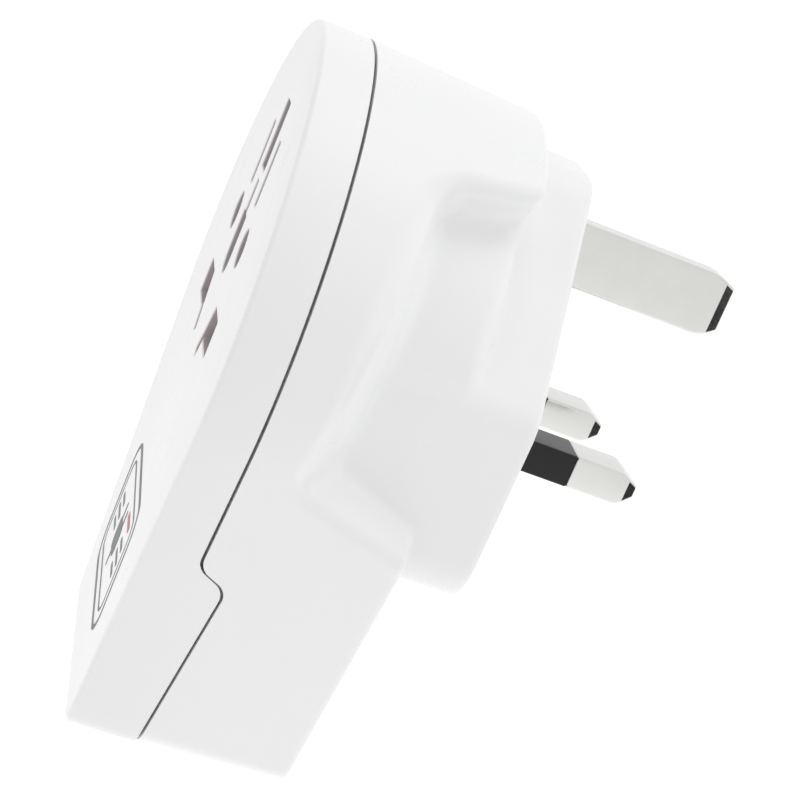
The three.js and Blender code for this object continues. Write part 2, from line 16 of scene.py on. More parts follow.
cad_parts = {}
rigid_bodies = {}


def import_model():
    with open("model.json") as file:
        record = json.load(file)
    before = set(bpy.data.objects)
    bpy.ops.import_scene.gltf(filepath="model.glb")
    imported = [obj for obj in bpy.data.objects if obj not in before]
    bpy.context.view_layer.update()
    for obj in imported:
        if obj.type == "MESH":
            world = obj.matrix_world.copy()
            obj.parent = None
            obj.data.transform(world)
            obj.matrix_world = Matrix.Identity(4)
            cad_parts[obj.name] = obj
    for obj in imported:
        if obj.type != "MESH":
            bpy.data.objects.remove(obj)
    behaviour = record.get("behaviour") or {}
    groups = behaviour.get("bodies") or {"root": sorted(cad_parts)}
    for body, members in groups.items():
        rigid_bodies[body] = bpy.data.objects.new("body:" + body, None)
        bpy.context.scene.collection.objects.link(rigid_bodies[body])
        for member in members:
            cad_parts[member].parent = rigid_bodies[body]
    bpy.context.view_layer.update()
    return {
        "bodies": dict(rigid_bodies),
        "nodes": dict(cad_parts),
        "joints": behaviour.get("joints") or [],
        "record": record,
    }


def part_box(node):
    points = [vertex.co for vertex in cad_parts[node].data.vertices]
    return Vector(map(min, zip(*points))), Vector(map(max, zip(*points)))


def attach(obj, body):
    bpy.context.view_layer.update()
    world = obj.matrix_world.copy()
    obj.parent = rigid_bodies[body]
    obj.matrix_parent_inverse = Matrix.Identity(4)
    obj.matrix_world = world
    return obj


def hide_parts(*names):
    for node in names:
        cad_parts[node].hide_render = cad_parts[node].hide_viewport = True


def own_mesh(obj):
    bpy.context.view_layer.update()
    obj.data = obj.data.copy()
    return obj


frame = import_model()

bl_info = {
    "name": "Travel adapter",
    "version": (1, 0, 0),
    "blender": (4, 5, 0),
    "location": "View3D > Sidebar > Adapter",
    "description": "Builds a plug-through travel adapter piece by piece",
    "category": "Add Mesh",
}

MM = 0.001


def node_box(node):
    """Lowest and highest corner of a CAD node, in millimetres."""
    low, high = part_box(node)
    return low / MM, high / MM


# ---- sizes ----

COVER_LOW, COVER_HIGH = node_box("front_cover")
FACE_Y = COVER_LOW.y
RADIUS = COVER_HIGH.x
CENTRE_Z = COVER_HIGH.z - RADIUS
BOTTOM_Z = COVER_LOW.z
SIDE_TILT = math.radians(16.6)
CORNER = 3.0
WALL = 2.3
FACE_WALL = 2.0
TONGUE_INSET = 1.4
TONGUE_REACH = 1.4
TONGUE_ROOT_Y = -24.6
TONGUE_FIT = 0.25

SEAM_Y = -29.7
SEAM_GAP = 0.38
SEAM_STEP_TOP = -21.0
SEAM_STEP_BOTTOM = -22.95
SEAM_LOWER_Y = -25.75
SEAM_LOWER_TILT = 0.07
SEAM_BEND = 2.2

DRAFT = 0.045
REAR_Y = -8.15
REAR_LEAN = 0.014
REAR_FRONT_Y = -31.5

GRIP_DEPTH = 6.9
GRIP_OUTER_EDGE = (-23.3, 0.11)
GRIP_INNER_EDGE = (-19.3, 0.055)
LEDGE_HEIGHT, LEDGE_FALL_X, LEDGE_FALL_Y = 14.7, 1.025, 0.425
CEILING_HEIGHT, CEILING_RISE_X, CEILING_RISE_Y, CEILING_TWIST = 22.8, 0.5, 1.23, 0.045
BROW_START, BROW_BLEND = 4, 10

BASE_SIDE = [(26.3, -16.8, 6), (27.3, 7, 5), (6.6, 31.85, 4)]
BASE_CORNERS = BASE_SIDE + [(-x, z, radius) for x, z, radius in reversed(BASE_SIDE)]
BASE_WALL = 3.0
BASE_FRONT_Y = -20
CUT_END_Y = -12
BASE_FILLET = 0.4

SLEEVE_LOW, SLEEVE_HIGH = node_box("live_pin_sleeve")
POWER_X = (SLEEVE_LOW.x + SLEEVE_HIGH.x) / 2
POWER_WIDTH = SLEEVE_HIGH.x - SLEEVE_LOW.x
POWER_HEIGHT = SLEEVE_HIGH.z - SLEEVE_LOW.z
POWER_LENGTH = node_box("live_pin")[1].y
SLEEVE_WALL = 0.45
SLEEVE_CORNER = 0.3
EARTH_Z = 22.23
EARTH_WIDTH = 4.0
EARTH_HEIGHT = 7.95
EARTH_LENGTH = node_box("earth_pin")[1].y
PIN_FIT = 0.12
PIN_ROOT_Y = -9.4

SLOT_CORNER = 0.3
APERTURES = {
    "centre": [
        ("slot", 0, 22.4, 4.5, 8.6, 0),
        ("hole", 0, 7.2, 2.5),
        ("slot", 0, 9.8, 5, 5.2, 0),
        ("slot", 0, 14.4, 1.9, 4.6, 0),
    ],
    "side": [
        ("slot", 11.11, 0.2, 7.2, 4.5, 0),
        ("slot", 6.35, 18.9, 1.9, 8, 0),
        ("hole", 9.5, 10.4, 2.4),
        ("slot", 6.6, -1.3, 1.8, 7.2, 30),
    ],
}

SCREWS = [(-20.2, 3.5), (20.2, 3.5), (-10.5, -39), (10.5, -39)]
SCREW_HEAD_Y = node_box("housing_screw_1")[1].y
SCREW_TIP_Y = node_box("housing_screw_1")[0].y
SCREW_HEAD = 2.3
SCREW_SHANK = 1.1
THREAD_PITCH = 1.1
THREAD_TURNS = 11
THREAD_DEPTH = 0.22
BOSS = 3.5
BOSS_WELL = 2.6
REAR_BOSS_START = -24.4
FRONT_BOSS = 2.9
FRONT_BOSS_END = -24.8

CAP_LOW, CAP_HIGH = node_box("fuse_cap_lower")
UPPER_CAP_LOW, UPPER_CAP_HIGH = node_box("fuse_cap_upper")
FUSE_Y = (CAP_LOW.y + CAP_HIGH.y) / 2
CAP_RADIUS = (CAP_HIGH.x - CAP_LOW.x) / 2
TUBE_LOW, TUBE_HIGH = node_box("fuse_body")
TUBE_RADIUS = (TUBE_HIGH.x - TUBE_LOW.x) / 2
DOOR_HALF = 4.4
DOOR_BOTTOM = -12.6
DOOR_TOP = 15.6
DOOR_FIT = 0.25

SPRING_LOW, SPRING_HIGH = node_box("shutter_spring")
SPRING_WIRE = 0.25
SPRING_TURNS = 7
WIRE_STEPS = 28

# Depth below the outer surface at which the shade painted in apertures and recesses is full.
PAINTED_SHADE_DEPTH = 0.15
MARK_PLACE = (0, -31.1)
MARK_LINE = 0.75
PRINT_LIFT = 0.03


def ledge_height(x, y):
    """Height of a finger grip's lower ledge, which falls as it runs back."""
    return LEDGE_HEIGHT - LEDGE_FALL_X * x - LEDGE_FALL_Y * y


def ceiling_height(x, y):
    """Height of a finger grip's ceiling, which flattens as it runs back."""
    return CEILING_HEIGHT + CEILING_RISE_X * x + CEILING_RISE_Y * y - CEILING_TWIST * x * y


def front_wall(z):
    """Depths of the outer and inner edge of a finger grip's sloping front wall."""
    return [depth + lean * z for depth, lean in (GRIP_OUTER_EDGE, GRIP_INNER_EDGE)]


def rear_wall(z):
    """Depth of the rear wall, which leans a little."""
    return REAR_Y + REAR_LEAN * z


# ---- settings ----


def length_setting(name, description, millimetres):
    default = millimetres * MM
    return bpy.props.FloatProperty(name=name, description=description, default=default, unit="LENGTH")


def angle_setting(name, description, degrees):
    default = math.radians(degrees)
    return bpy.props.FloatProperty(name=name, description=description, default=default, subtype="ANGLE")


def power_setting(name, description, watts):
    return bpy.props.FloatProperty(name=name, description=description, default=watts, unit="POWER")


def strength_setting(name, description, strength):
    return bpy.props.FloatProperty(name=name, description=description, default=strength)


def colour_setting(name, description, *colour):
    return bpy.props.FloatVectorProperty(
        name=name, description=description, default=colour, subtype="COLOR"
    )


class ShellSettings(bpy.types.PropertyGroup):
    """Sizes and colours of the two white shells."""

    rim: length_setting("Face rim", "Rounding of the face's rim", 0.6)
    rear_edge: length_setting("Rear edge", "Rounding of the rear wall's rim", 0.9)
    base_edge: length_setting("Base edge", "Rounding of the plug base's rim", 0.9)
    grip_edge: length_setting("Grip edge", "Rounding of the grips' outer edges", 1.1)
    brow: length_setting("Grip brow", "Rounding of the edge over each grip", 2.4)
    ledge_fillet: length_setting("Ledge fillet", "Fillet above the grips' lower ledge", 2.0)
    grip_fillet: length_setting("Grip fillet", "Fillet along the grips' front wall", 1.3)
    ceiling_fillet: length_setting("Ceiling fillet", "Fillet under the grips' ceiling", 3.4)
    mouth: length_setting("Mouth rounding", "Rounding of each aperture's mouth", 0.16)
    colour: colour_setting("Shell colour", "White of the shells", 0.862, 0.863, 0.866)
    ink: colour_setting("Print colour", "Dark ink on the face", 0.035, 0.035, 0.04)
    accent: colour_setting("Accent colour", "Red ink on the face", 0.42, 0.03, 0.04)


class PinSettings(bpy.types.PropertyGroup):
    """Finish of the plug pins and their sleeves."""

    edge: length_setting("Pin edge", "Rounding along the pins' edges", 0.35)
    plating: colour_setting("Plating", "Colour of the nickel plating", 0.64, 0.64, 0.622)
    sleeve: colour_setting("Sleeve", "Colour of the insulating sleeves", 0.006, 0.006, 0.0065)


class StageSettings(bpy.types.PropertyGroup):
    """Camera, floor and lights."""

    azimuth: angle_setting("Azimuth", "Camera angle from +X towards -Y", 12.37)
    elevation: angle_setting("Elevation", "Camera angle above the level", 15.02)
    roll: angle_setting("Roll", "Tilt of the camera about its view", 23.16)
    distance: length_setting("Distance", "Camera to the middle of the object", 261.7)
    lens: bpy.props.FloatProperty(name="Lens", description="Focal length", default=96.66, unit="CAMERA")
    floor: colour_setting("Floor", "Colour of the floor", 0.93, 0.93, 0.93)
    glow: strength_setting("Glow", "Light that the floor sends to the object", 0.3)
    white: strength_setting("White", "Light that the floor shows", 0.52)
    sky: strength_setting("Sky", "Strength of the even light all round", 0.55)
    key: power_setting("Key", "Power of the large front light", 0.5)
    top: power_setting("Top", "Power of the light above", 1.32)
    rear: power_setting("Rear", "Power of the light behind", 1.0)


# ---- outlines ----
# An outline is an array of rows x, z and outward normal x, z, anticlockwise seen from the front.


def arc(centre, radius, start, end, steps):
    angles = np.linspace(start, end, steps + 1)
    normal = np.stack([np.cos(angles), np.sin(angles)], 1)
    return np.hstack([np.array(centre) + radius * normal, normal])


def case_outline(inset, fineness=1.0):
    """The case seen from the front, moved in by an inset."""
    radius = RADIUS - inset
    corner = max(CORNER - inset, 0.4)
    corner_z = BOTTOM_Z + inset + corner
    corner_x = (radius - corner + (corner_z - CENTRE_Z) * math.sin(SIDE_TILT)) / math.cos(SIDE_TILT)
    top_steps = round(150 * fineness)
    side_steps = max(3, round(14 * fineness))
    corner_steps = max(3, round(8 * fineness))
    lower = arc((corner_x, corner_z), corner, -math.pi / 2, -SIDE_TILT, corner_steps)
    upper = arc((0, CENTRE_Z), radius, -SIDE_TILT, math.pi + SIDE_TILT, top_steps)
    shares = np.linspace(0, 1, side_steps + 1)[1:-1, None]
    side = lower[-1] * (1 - shares) + upper[0] * shares
    mirror = np.array([-1, 1, -1, 1])
    return np.vstack([lower, side, upper, side[::-1] * mirror, lower[::-1] * mirror])


def rounded_polygon(corners, steps=8):
    """A polygon with rounded corners, each given as x, z and radius."""
    rows = []
    for i, (x, z, radius) in enumerate(corners):
        corner = Vector((x, z))
        into = (corner - Vector(corners[i - 1][:2])).normalized()
        out = (Vector(corners[(i + 1) % len(corners)][:2]) - corner).normalized()
        turn = math.atan2(into.x * out.y - into.y * out.x, into.dot(out))
        signed = math.copysign(radius, turn)
        start = corner - into * abs(math.tan(turn / 2)) * radius
        centre = start + Vector((-into.y, into.x)) * signed
        first = math.atan2(-into.x, into.y)
        rows.append(arc(centre, signed, first, first + turn, steps))
    return np.vstack(rows)


def rounded_slot(x, z, width, height, tilt=0, corner=SLOT_CORNER):
    """A rectangle with rounded corners, its top leaning towards +X by the tilt in degrees."""
    half_w, half_h = width / 2, height / 2
    corner = min(corner, half_w * 0.98, half_h * 0.98)
    signs = [(1, -1), (1, 1), (-1, 1), (-1, -1)]
    rows = rounded_polygon([(half_w * i, half_h * j, corner) for i, j in signs])
    sine, cosine = math.sin(math.radians(tilt)), math.cos(math.radians(tilt))
    turn = np.array([[cosine, -sine], [sine, cosine]])
    return np.hstack([rows[:, :2] @ turn + np.array([x, z]), rows[:, 2:] @ turn])


def circle(x, z, radius, steps=48):
    return arc((x, z), radius, 0, 2 * math.pi, steps)[:-1]


def ring(outline, depth, shrink=0.0):
    """An outline as points at a depth, which may be a function of height, pulled in by a distance."""
    flat = outline[:, :2] - outline[:, 2:] * np.reshape(shrink, (-1, 1))
    y = depth(flat[:, 1]) if callable(depth) else np.full(len(flat), float(depth))
    return np.stack([flat[:, 0], y, flat[:, 1]], 1)


# ---- meshes ----


def new_object(name, data):
    obj = bpy.data.objects.new(name, data)
    bpy.context.scene.collection.objects.link(obj)
    return obj


def mesh_object(name, vertices, faces):
    mesh = bpy.data.meshes.new(name)
    mesh.from_pydata((np.asarray(vertices) * MM).tolist(), [], faces)
    mesh.validate()
    return new_object(name, mesh)


def loft(name, rings, closed=False):
    """A body through rings of points that run front to back, capped unless the last meets the first."""
    count = len(rings[0])
    faces = []
    spans = len(rings) if closed else len(rings) - 1
    for k in range(spans):
        here, there = k * count, ((k + 1) % len(rings)) * count
        for i in range(count):
            j = (i + 1) % count
            faces.append((here + i, there + i, there + j, here + j))
    if not closed:
        faces.append(tuple(range(count)))
        faces.append(tuple(reversed(range(spans * count, (spans + 1) * count))))
    return mesh_object(name, np.vstack(rings), faces)


def block(name, low, high):
    """A plain box, used to cut or build up a shell."""
    (x0, y0, z0), (x1, y1, z1) = low, high
    outline = np.array([[x1, z0], [x1, z1], [x0, z1], [x0, z0]])
    return loft(name, [np.insert(outline, 1, y, axis=1) for y in (y0, y1)])


def prism(name, outline, start, end, shrink=0.0):
    """An outline pushed straight from one depth to another."""
    return loft(name, [ring(outline, y, shrink) for y in (start, end)])


def rod(name, x, z, radius, start, end):
    return prism(name, circle(x, z, radius), start, end)


def finished_mesh(obj):
    """The mesh that an object's modifiers or bevel make."""
    graph = bpy.context.evaluated_depsgraph_get()
    return bpy.data.meshes.new_from_object(obj.evaluated_get(graph))


def settle(obj):
    """Keeps what an object's modifiers make as its own mesh."""
    mesh = finished_mesh(obj)
    obj.modifiers.clear()
    obj.data = mesh
    if not mesh.polygons:
        raise RuntimeError(f"{obj.name} has no faces left")


def shape_with(obj, operation, *tools):
    """Joins, cuts or intersects an object with tools, and removes the tools."""
    for tool in tools:
        modifier = obj.modifiers.new("shape", "BOOLEAN")
        modifier.operation = operation
        modifier.solver = "MANIFOLD"
        modifier.object = tool
        settle(obj)
        bpy.data.objects.remove(tool)
    return obj


def mirrored(obj):
    """A copy of an object on the other side of the middle plane."""
    mesh = obj.data.copy()
    mesh.transform(Matrix.Scale(-1, 4, (1, 0, 0)))
    mesh.flip_normals()
    return new_object(obj.name + "_far", mesh)


def shade(obj, angle=32):
    """Smooth shading, with edges sharper than an angle in degrees kept crisp."""
    obj.data.shade_smooth()
    obj.data.set_sharp_from_angle(angle=math.radians(angle))
    return obj


def turned(name, profile, sides=64):
    """A body turned about the fuse's axis. The profile is radius and height, and closes on itself."""
    rings = []
    for angle in np.linspace(0, 2 * math.pi, sides, endpoint=False):
        x, y = math.cos(angle), math.sin(angle)
        rings.append(np.array([(r * x, FUSE_Y + r * y, h) for r, h in profile]))
    return loft(name, rings, closed=True)


def refined_copy(node, name, width):
    """A CAD node's shape, with its flat faces joined up and its edges rounded."""
    mesh = frame["nodes"][node].data.copy()
    mesh.materials.clear()
    obj = new_object(name, mesh)
    work = bmesh.new()
    work.from_mesh(mesh)
    bmesh.ops.remove_doubles(work, verts=work.verts, dist=0.002 * MM)
    bmesh.ops.dissolve_limit(work, angle_limit=math.radians(1), verts=work.verts, edges=work.edges)
    work.to_mesh(mesh)
    work.free()
    bevel = obj.modifiers.new("edges", "BEVEL")
    bevel.width = width * MM
    bevel.segments = 2
    bevel.limit_method = "ANGLE"
    bevel.angle_limit = math.radians(40)
    bevel.miter_outer = "MITER_ARC"
    settle(obj)
    return shade(obj)


def install(obj, body, finish, slot, *nodes):
    """Puts a finished piece on its body, in its finish, in place of CAD nodes."""
    obj.data.materials.clear()
    obj.data.materials.append(material_of(finish))
    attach(obj, body)
    if nodes:
        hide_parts(*nodes)


# ---- shells as distance fields ----


def both(a, b, radius):
    """Distance to where two bodies overlap, with the edge between them rounded."""
    corner = np.hypot(np.maximum(a + radius, 0), np.maximum(b + radius, 0))
    return np.minimum(np.maximum(a, b), -radius) + corner


def either(a, b, radius):
    """Distance to two bodies joined, with a fillet where they meet."""
    return -both(-a, -b, radius)


def case_distance(x, z):
    """Distance outside the case's outline."""
    x = np.abs(x)
    up = z - CENTRE_Z
    cosine, sine = math.cos(SIDE_TILT), math.sin(SIDE_TILT)
    below = x * sine + up * cosine < 0
    side = np.where(below, x * cosine - up * sine, np.hypot(x, up)) - RADIUS
    return both(side, BOTTOM_Z - z, CORNER)


def polygon_distance(x, z, corners, radius=6):
    """Distance outside a convex polygon whose corners are rounded alike."""
    points = [np.array(corner[:2], float) for corner in corners]
    edges = [points[(i + 1) % len(points)] - point for i, point in enumerate(points)]
    normals = [np.array([edge[1], -edge[0]]) / math.hypot(*edge) for edge in edges]
    inner = [
        point - radius * (normals[i - 1] + normals[i]) / (1 + normals[i - 1] @ normals[i])
        for i, point in enumerate(points)
    ]
    inside, outside = -1e9, 1e9
    for i, start in enumerate(inner):
        edge = inner[(i + 1) % len(inner)] - start
        dx, dz = x - start[0], z - start[1]
        share = np.clip((dx * edge[0] + dz * edge[1]) / (edge @ edge), 0, 1)
        inside = np.maximum(inside, dx * normals[i][0] + dz * normals[i][1])
        outside = np.minimum(outside, np.hypot(dx - share * edge[0], dz - share * edge[1]))
    return np.where(inside > 0, outside, inside) - radius


def grip_core(x, y, z, settings):
    """Distance outside the body that is left behind a finger grip."""
    outline = case_distance(x, z)
    outer, inner = front_wall(z)
    slope = GRIP_DEPTH / (inner - outer)
    ramp = (outline + (y - outer) * slope) / np.hypot(1, slope)
    return either(ramp, outline + GRIP_DEPTH, settings.grip_fillet / MM)


def rear_distance(point, settings):
    """Distance outside the rear shell's outer surface."""
    x, y, z = np.abs(point[0]), point[1], point[2]
    edge = settings.rear_edge / MM
    near_brow = np.clip((z - BROW_START) / BROW_BLEND, 0, 1)
    grip_edge = (settings.grip_edge + near_brow * (settings.brow - settings.grip_edge)) / MM
    sides = case_distance(x, z) + DRAFT * (y - SEAM_Y)
    shell = both(sides, y - rear_wall(z), edge)
    below_ledge = (z - ledge_height(x, y)) / math.sqrt(1 + LEDGE_FALL_X**2 + LEDGE_FALL_Y**2)
    rise_x, rise_y = CEILING_RISE_X - CEILING_TWIST * y, CEILING_RISE_Y - CEILING_TWIST * x
    above_ceiling = (ceiling_height(x, y) - z) / np.sqrt(1 + rise_x**2 + rise_y**2)
    left = either(grip_core(x, y, z, settings), below_ledge, settings.ledge_fillet / MM)
    left = either(left, above_ceiling, settings.ceiling_fillet / MM)
    gripped = both(shell, left, grip_edge)
    outline = polygon_distance(x, z, BASE_CORNERS)
    base = both(outline, y, settings.base_edge / MM)
    base = np.maximum(base, BASE_FRONT_Y - y)
    return np.maximum(either(gripped, base, BASE_FILLET), REAR_FRONT_Y - y)


def front_distance(point, settings):
    """Distance outside the front shell's outer surface."""
    return both(case_distance(point[0], point[2]), FACE_Y - point[1], settings.rim / MM)


def note_shade_depth(obj, distance, settings):
    """Notes on each vertex how far below the outer surface it lies, from 0 to 1 at the full depth of
    the shade painted in recesses.
    """
    places = np.array([vertex.co for vertex in obj.data.vertices]) / MM
    share = np.clip(-distance(places.T, settings) / PAINTED_SHADE_DEPTH, 0, 1)
    attribute = obj.data.attributes.new("recess", "FLOAT", "POINT")
    attribute.data.foreach_set("value", share.astype(np.float32))


def surface_net(distance, low, high, step):
    """Vertices and quads along the zero of a distance field, one vertex in each cell it crosses."""
    axes = [np.arange(a, b + step, step) for a, b in zip(low, high)]
    grid = np.meshgrid(*axes, indexing="ij")
    field = distance(grid)
    inside = field < 0
    corners = list(itertools.product((0, 1), repeat=3))

    def window(array, corner):
        return array[tuple(slice(c, n - 1 + c) for c, n in zip(corner, array.shape))]

    count = sum(window(inside, corner).astype(np.int8) for corner in corners)
    active = (count > 0) & (count < 8)
    cells = np.argwhere(active)
    values = {corner: window(field, corner)[active] for corner in corners}
    total = np.zeros((len(cells), 3))
    hits = np.zeros((len(cells), 1))
    for a, b in itertools.combinations(corners, 2):
        if sum(abs(i - j) for i, j in zip(a, b)) != 1:
            continue
        crossed = (values[a] < 0) != (values[b] < 0)
        gap = np.where(crossed, values[a] - values[b], 1)
        share = np.where(crossed, values[a] / gap, 0)[:, None]
        total += crossed[:, None] * (np.array(a) + share * (np.array(b) - np.array(a)))
        hits += crossed[:, None]
    vertices = np.array(low) + step * (cells + total / hits)
    vertices = onto_surface(distance, vertices, step)

    index = np.full(active.shape, -1)
    index[active] = np.arange(len(cells))
    faces = []
    for axis in range(3):
        start, end = [slice(None)] * 3, [slice(None)] * 3
        start[axis], end[axis] = slice(0, -1), slice(1, None)
        crossing = inside[tuple(start)] != inside[tuple(end)]
        u, v = (axis + 1) % 3, (axis + 2) % 3
        places = np.argwhere(crossing)
        keep = (places[:, u] > 0) & (places[:, v] > 0)
        keep &= (places[:, u] < inside.shape[u] - 1) & (places[:, v] < inside.shape[v] - 1)
        places = places[keep]
        step_u, step_v = np.eye(3, dtype=int)[u], np.eye(3, dtype=int)[v]
        around = [places, places - step_u, places - step_u - step_v, places - step_v]
        quads = np.stack([index[tuple(cell.T)] for cell in around], 1)
        outward = inside[tuple(places.T)]
        quads[~outward] = quads[~outward][:, ::-1]
        faces.append(quads)
    return vertices, np.vstack(faces)


def onto_surface(distance, vertices, step, rounds=4):
    """Moves vertices along the field's slope until they lie on its zero."""
    reach = step * 0.05
    limit = step * 0.5
    for _ in range(rounds):
        here = distance(vertices.T)
        slope = np.stack(
            [(distance((vertices + reach * axis).T) - here) / reach for axis in np.eye(3)], 1
        )
        size = np.maximum((slope**2).sum(1, keepdims=True), 0.25)
        move = -here[:, None] * slope / size
        length = np.maximum(np.linalg.norm(move, axis=1, keepdims=True), 1e-9)
        vertices = vertices + move * np.minimum(1, limit / length)
    return vertices


# ---- parts of the shells ----


def behind_seam(name, shift):
    """Everything behind the seam line, moved along Y by a shift."""
    reach = 60
    lower_end = SEAM_LOWER_Y - SEAM_LOWER_TILT * (reach + SEAM_STEP_BOTTOM)
    corners = [
        (SEAM_Y + shift, reach, 0),
        (SEAM_Y + shift, SEAM_STEP_TOP, SEAM_BEND),
        (SEAM_LOWER_Y + shift, SEAM_STEP_BOTTOM, SEAM_BEND),
        (lower_end + shift, -reach, 0),
        (reach, -reach, 0),
        (reach, reach, 0),
    ]
    outline = rounded_polygon(corners, 10)[:, :2]
    return loft(name, [np.insert(outline, 0, x, axis=1) for x in (reach, -reach)])


def mouth_cutter(name, outline, mouth_y, end_y, rounding):
    """A cutter for an opening, flared so that the opening's mouth is rounded."""
    inward = math.copysign(1, end_y - mouth_y)
    rings = [ring(outline, mouth_y - inward * 2, -rounding * 1.6)]
    for angle in np.radians(np.linspace(0, 90, 6)):
        depth = inward * rounding * math.sin(angle)
        rings.append(ring(outline, mouth_y + depth, -rounding * (1 - math.sin(angle))))
    rings.append(ring(outline, end_y))
    return loft(name, rings if inward > 0 else rings[::-1])


def aperture_outline(spec, side=1):
    """Outline of one aperture of the socket face, on one side of the middle."""
    kind, x, z, *rest = spec
    if kind == "hole":
        return circle(side * x, z, rest[0])
    width, height, tilt = rest
    return rounded_slot(side * x, z, width, height, side * tilt)


def grip_room(grow):
    """The space kept clear behind a finger grip, as a body on the +X side."""
    rings = []
    for y in np.linspace(-28, -4, 5):
        lower = [(x, y, ledge_height(x, y) - 1.5 * grow) for x in (20, 40)]
        upper = [(x, y, ceiling_height(x, y) + 1.5 * grow) for x in (28, 12)]
        rings.append(np.array(lower + upper))
    wedge = loft("grip_wedge", rings)
    proud = 4

    def start(z):
        outer, inner = front_wall(z)
        return outer - (inner - outer) * proud / GRIP_DEPTH - grow

    far_out, floor = case_outline(-proud, 0.4), case_outline(GRIP_DEPTH + grow, 0.4)
    end = ring(floor, lambda z: front_wall(z)[1] - grow)
    core = loft("grip_core", [ring(far_out, -60), ring(far_out, start), end, ring(floor, 20)])
    return shape_with(wedge, "DIFFERENCE", core)


def front_shell(settings):
    """The front cover: a shallow shell whose flat face holds the socket's apertures."""
    outline = case_outline(0)
    rim = settings.rim / MM
    mouth = settings.mouth / MM
    rings = []
    for angle in np.radians(np.linspace(90, 0, 8)):
        depth, inset = rim * (1 - math.sin(angle)), rim * (1 - math.cos(angle))
        rings.append(ring(outline, FACE_Y + depth, inset))
    rings.append(ring(outline, -20))
    rings.sort(key=lambda points: points[0, 1])
    shell = loft("front_shell", rings)
    face_back = FACE_Y + FACE_WALL
    room = prism("room", case_outline(WALL), face_back + 0.5, 0)
    lip = prism("lip", case_outline(TONGUE_INSET - TONGUE_FIT), face_back + 0.8, 0)
    shape_with(lip, "INTERSECT", behind_seam("lip_seam", -TONGUE_REACH - SEAM_GAP))
    shape_with(shell, "DIFFERENCE", behind_seam("seam", -SEAM_GAP / 2), room, lip)
    bosses = [rod("boss", x, z, FRONT_BOSS, face_back, FRONT_BOSS_END) for x, z in SCREWS]
    rail = block("rail", (15.7, face_back, -9), (16.9, -30.6, 4))
    stop = block("spring_stop", (-2.4, face_back, -18), (2.4, -30.4, -16.2))
    shape_with(shell, "UNION", *bosses, mirrored(rail), rail, stop)
    pilots = [rod("pilot", x, z, SCREW_SHANK + 0.1, SCREW_TIP_Y - 0.4, 0) for x, z in SCREWS]
    outlines = [aperture_outline(spec) for spec in APERTURES["centre"]]
    outlines += [aperture_outline(spec, side) for side in (1, -1) for spec in APERTURES["side"]]
    cutters = [mouth_cutter("aperture", outline, FACE_Y, FACE_Y + 5, mouth) for outline in outlines]
    shape_with(shell, "DIFFERENCE", *pilots, *cutters)
    shade(shell)
    # Depth of each vertex below the surface, for the shade painted in the apertures.
    note_shade_depth(shell, front_distance, settings)
    return shell


def rear_shell(settings):
    """The rear housing: drafted sides with two finger grips, and the plug base."""
    step = 0.4
    low, high = (-35.5, -32.5, -50), (35.5, 1.5, 38.5)
    vertices, faces = surface_net(lambda point: rear_distance(point, settings), low, high, step)
    shell = mesh_object("rear_shell", vertices, faces.tolist())
    shape_with(shell, "INTERSECT", behind_seam("seam", SEAM_GAP / 2))
    tongue = prism("tongue", case_outline(TONGUE_INSET), -33, TONGUE_ROOT_Y)
    shape_with(tongue, "INTERSECT", behind_seam("tongue_seam", -TONGUE_REACH))
    shape_with(shell, "UNION", tongue)

    inner = case_outline(WALL + 0.8, 0.5)
    room = prism("room", inner, -60, lambda z: rear_wall(z) - WALL)
    grip = grip_room(WALL)
    shape_with(room, "DIFFERENCE", mirrored(grip), grip)
    base_room = prism("base_room", rounded_polygon(BASE_CORNERS), -19, -BASE_WALL, BASE_WALL)
    shape_with(room, "UNION", base_room)
    shape_with(shell, "DIFFERENCE", room)

    for x, z in SCREWS:
        boss_end = 1 - BASE_WALL if z > 0 else -10
        shape_with(shell, "UNION", rod("boss", x, z, BOSS, REAR_BOSS_START, boss_end))
    cutters = [pin_mouth(0, EARTH_Z, EARTH_WIDTH, EARTH_HEIGHT)]
    cutters += [pin_mouth(side * POWER_X, 0, POWER_WIDTH, POWER_HEIGHT) for side in (1, -1)]
    door_width, door_height = 2 * (DOOR_HALF + DOOR_FIT), DOOR_TOP - DOOR_BOTTOM + 2 * DOOR_FIT
    door = rounded_slot(0, (DOOR_BOTTOM + DOOR_TOP) / 2, door_width, door_height, corner=0.7)
    cutters.append(mouth_cutter("doorway", door, 0, CUT_END_Y, 0.2))
    for x, z in SCREWS:
        surface, well = 0 if z > 0 else rear_wall(z), circle(x, z, BOSS_WELL)
        cutters.append(mouth_cutter("well", well, surface, SCREW_HEAD_Y - 1.7, 0.3))
        cutters.append(rod("screw_hole", x, z, 1.3, -40, 0))
    shape_with(shell, "DIFFERENCE", *cutters)
    shade(shell)
    # Depth of each vertex below the surface, for the shade painted in holes, wells and the doorway.
    note_shade_depth(shell, rear_distance, settings)
    return shell


def pin_mouth(x, z, width, height):
    outline = rounded_slot(x, z, width + 2 * PIN_FIT, height + 2 * PIN_FIT)
    return mouth_cutter("pin_hole", outline, 0, CUT_END_Y, 0.15)


# ---- pins ----


def blade(name, x, z, width, height, stages, edge, shoulder):
    """A rectangular pin through stages of depth and of inset along X and Z, with a shoulder inside."""
    rings = []
    for y, inset_x, inset_z in stages:
        outline = rounded_slot(x, z, width - 2 * inset_x, height - 2 * inset_z, corner=edge)
        rings.append(ring(outline, y))
    pin = shape_with(loft(name, rings), "UNION", block("shoulder", *shoulder))
    return shade(pin, 28)


def cut_off(first, last):
    """Stages of a pin's flat slope at the tip, with two close to its ends that keep it flat."""
    shares = np.array([0, 0.07, 0.92, 1])[:, None]
    return (np.array(first) + shares * (np.array(last) - np.array(first))).tolist()


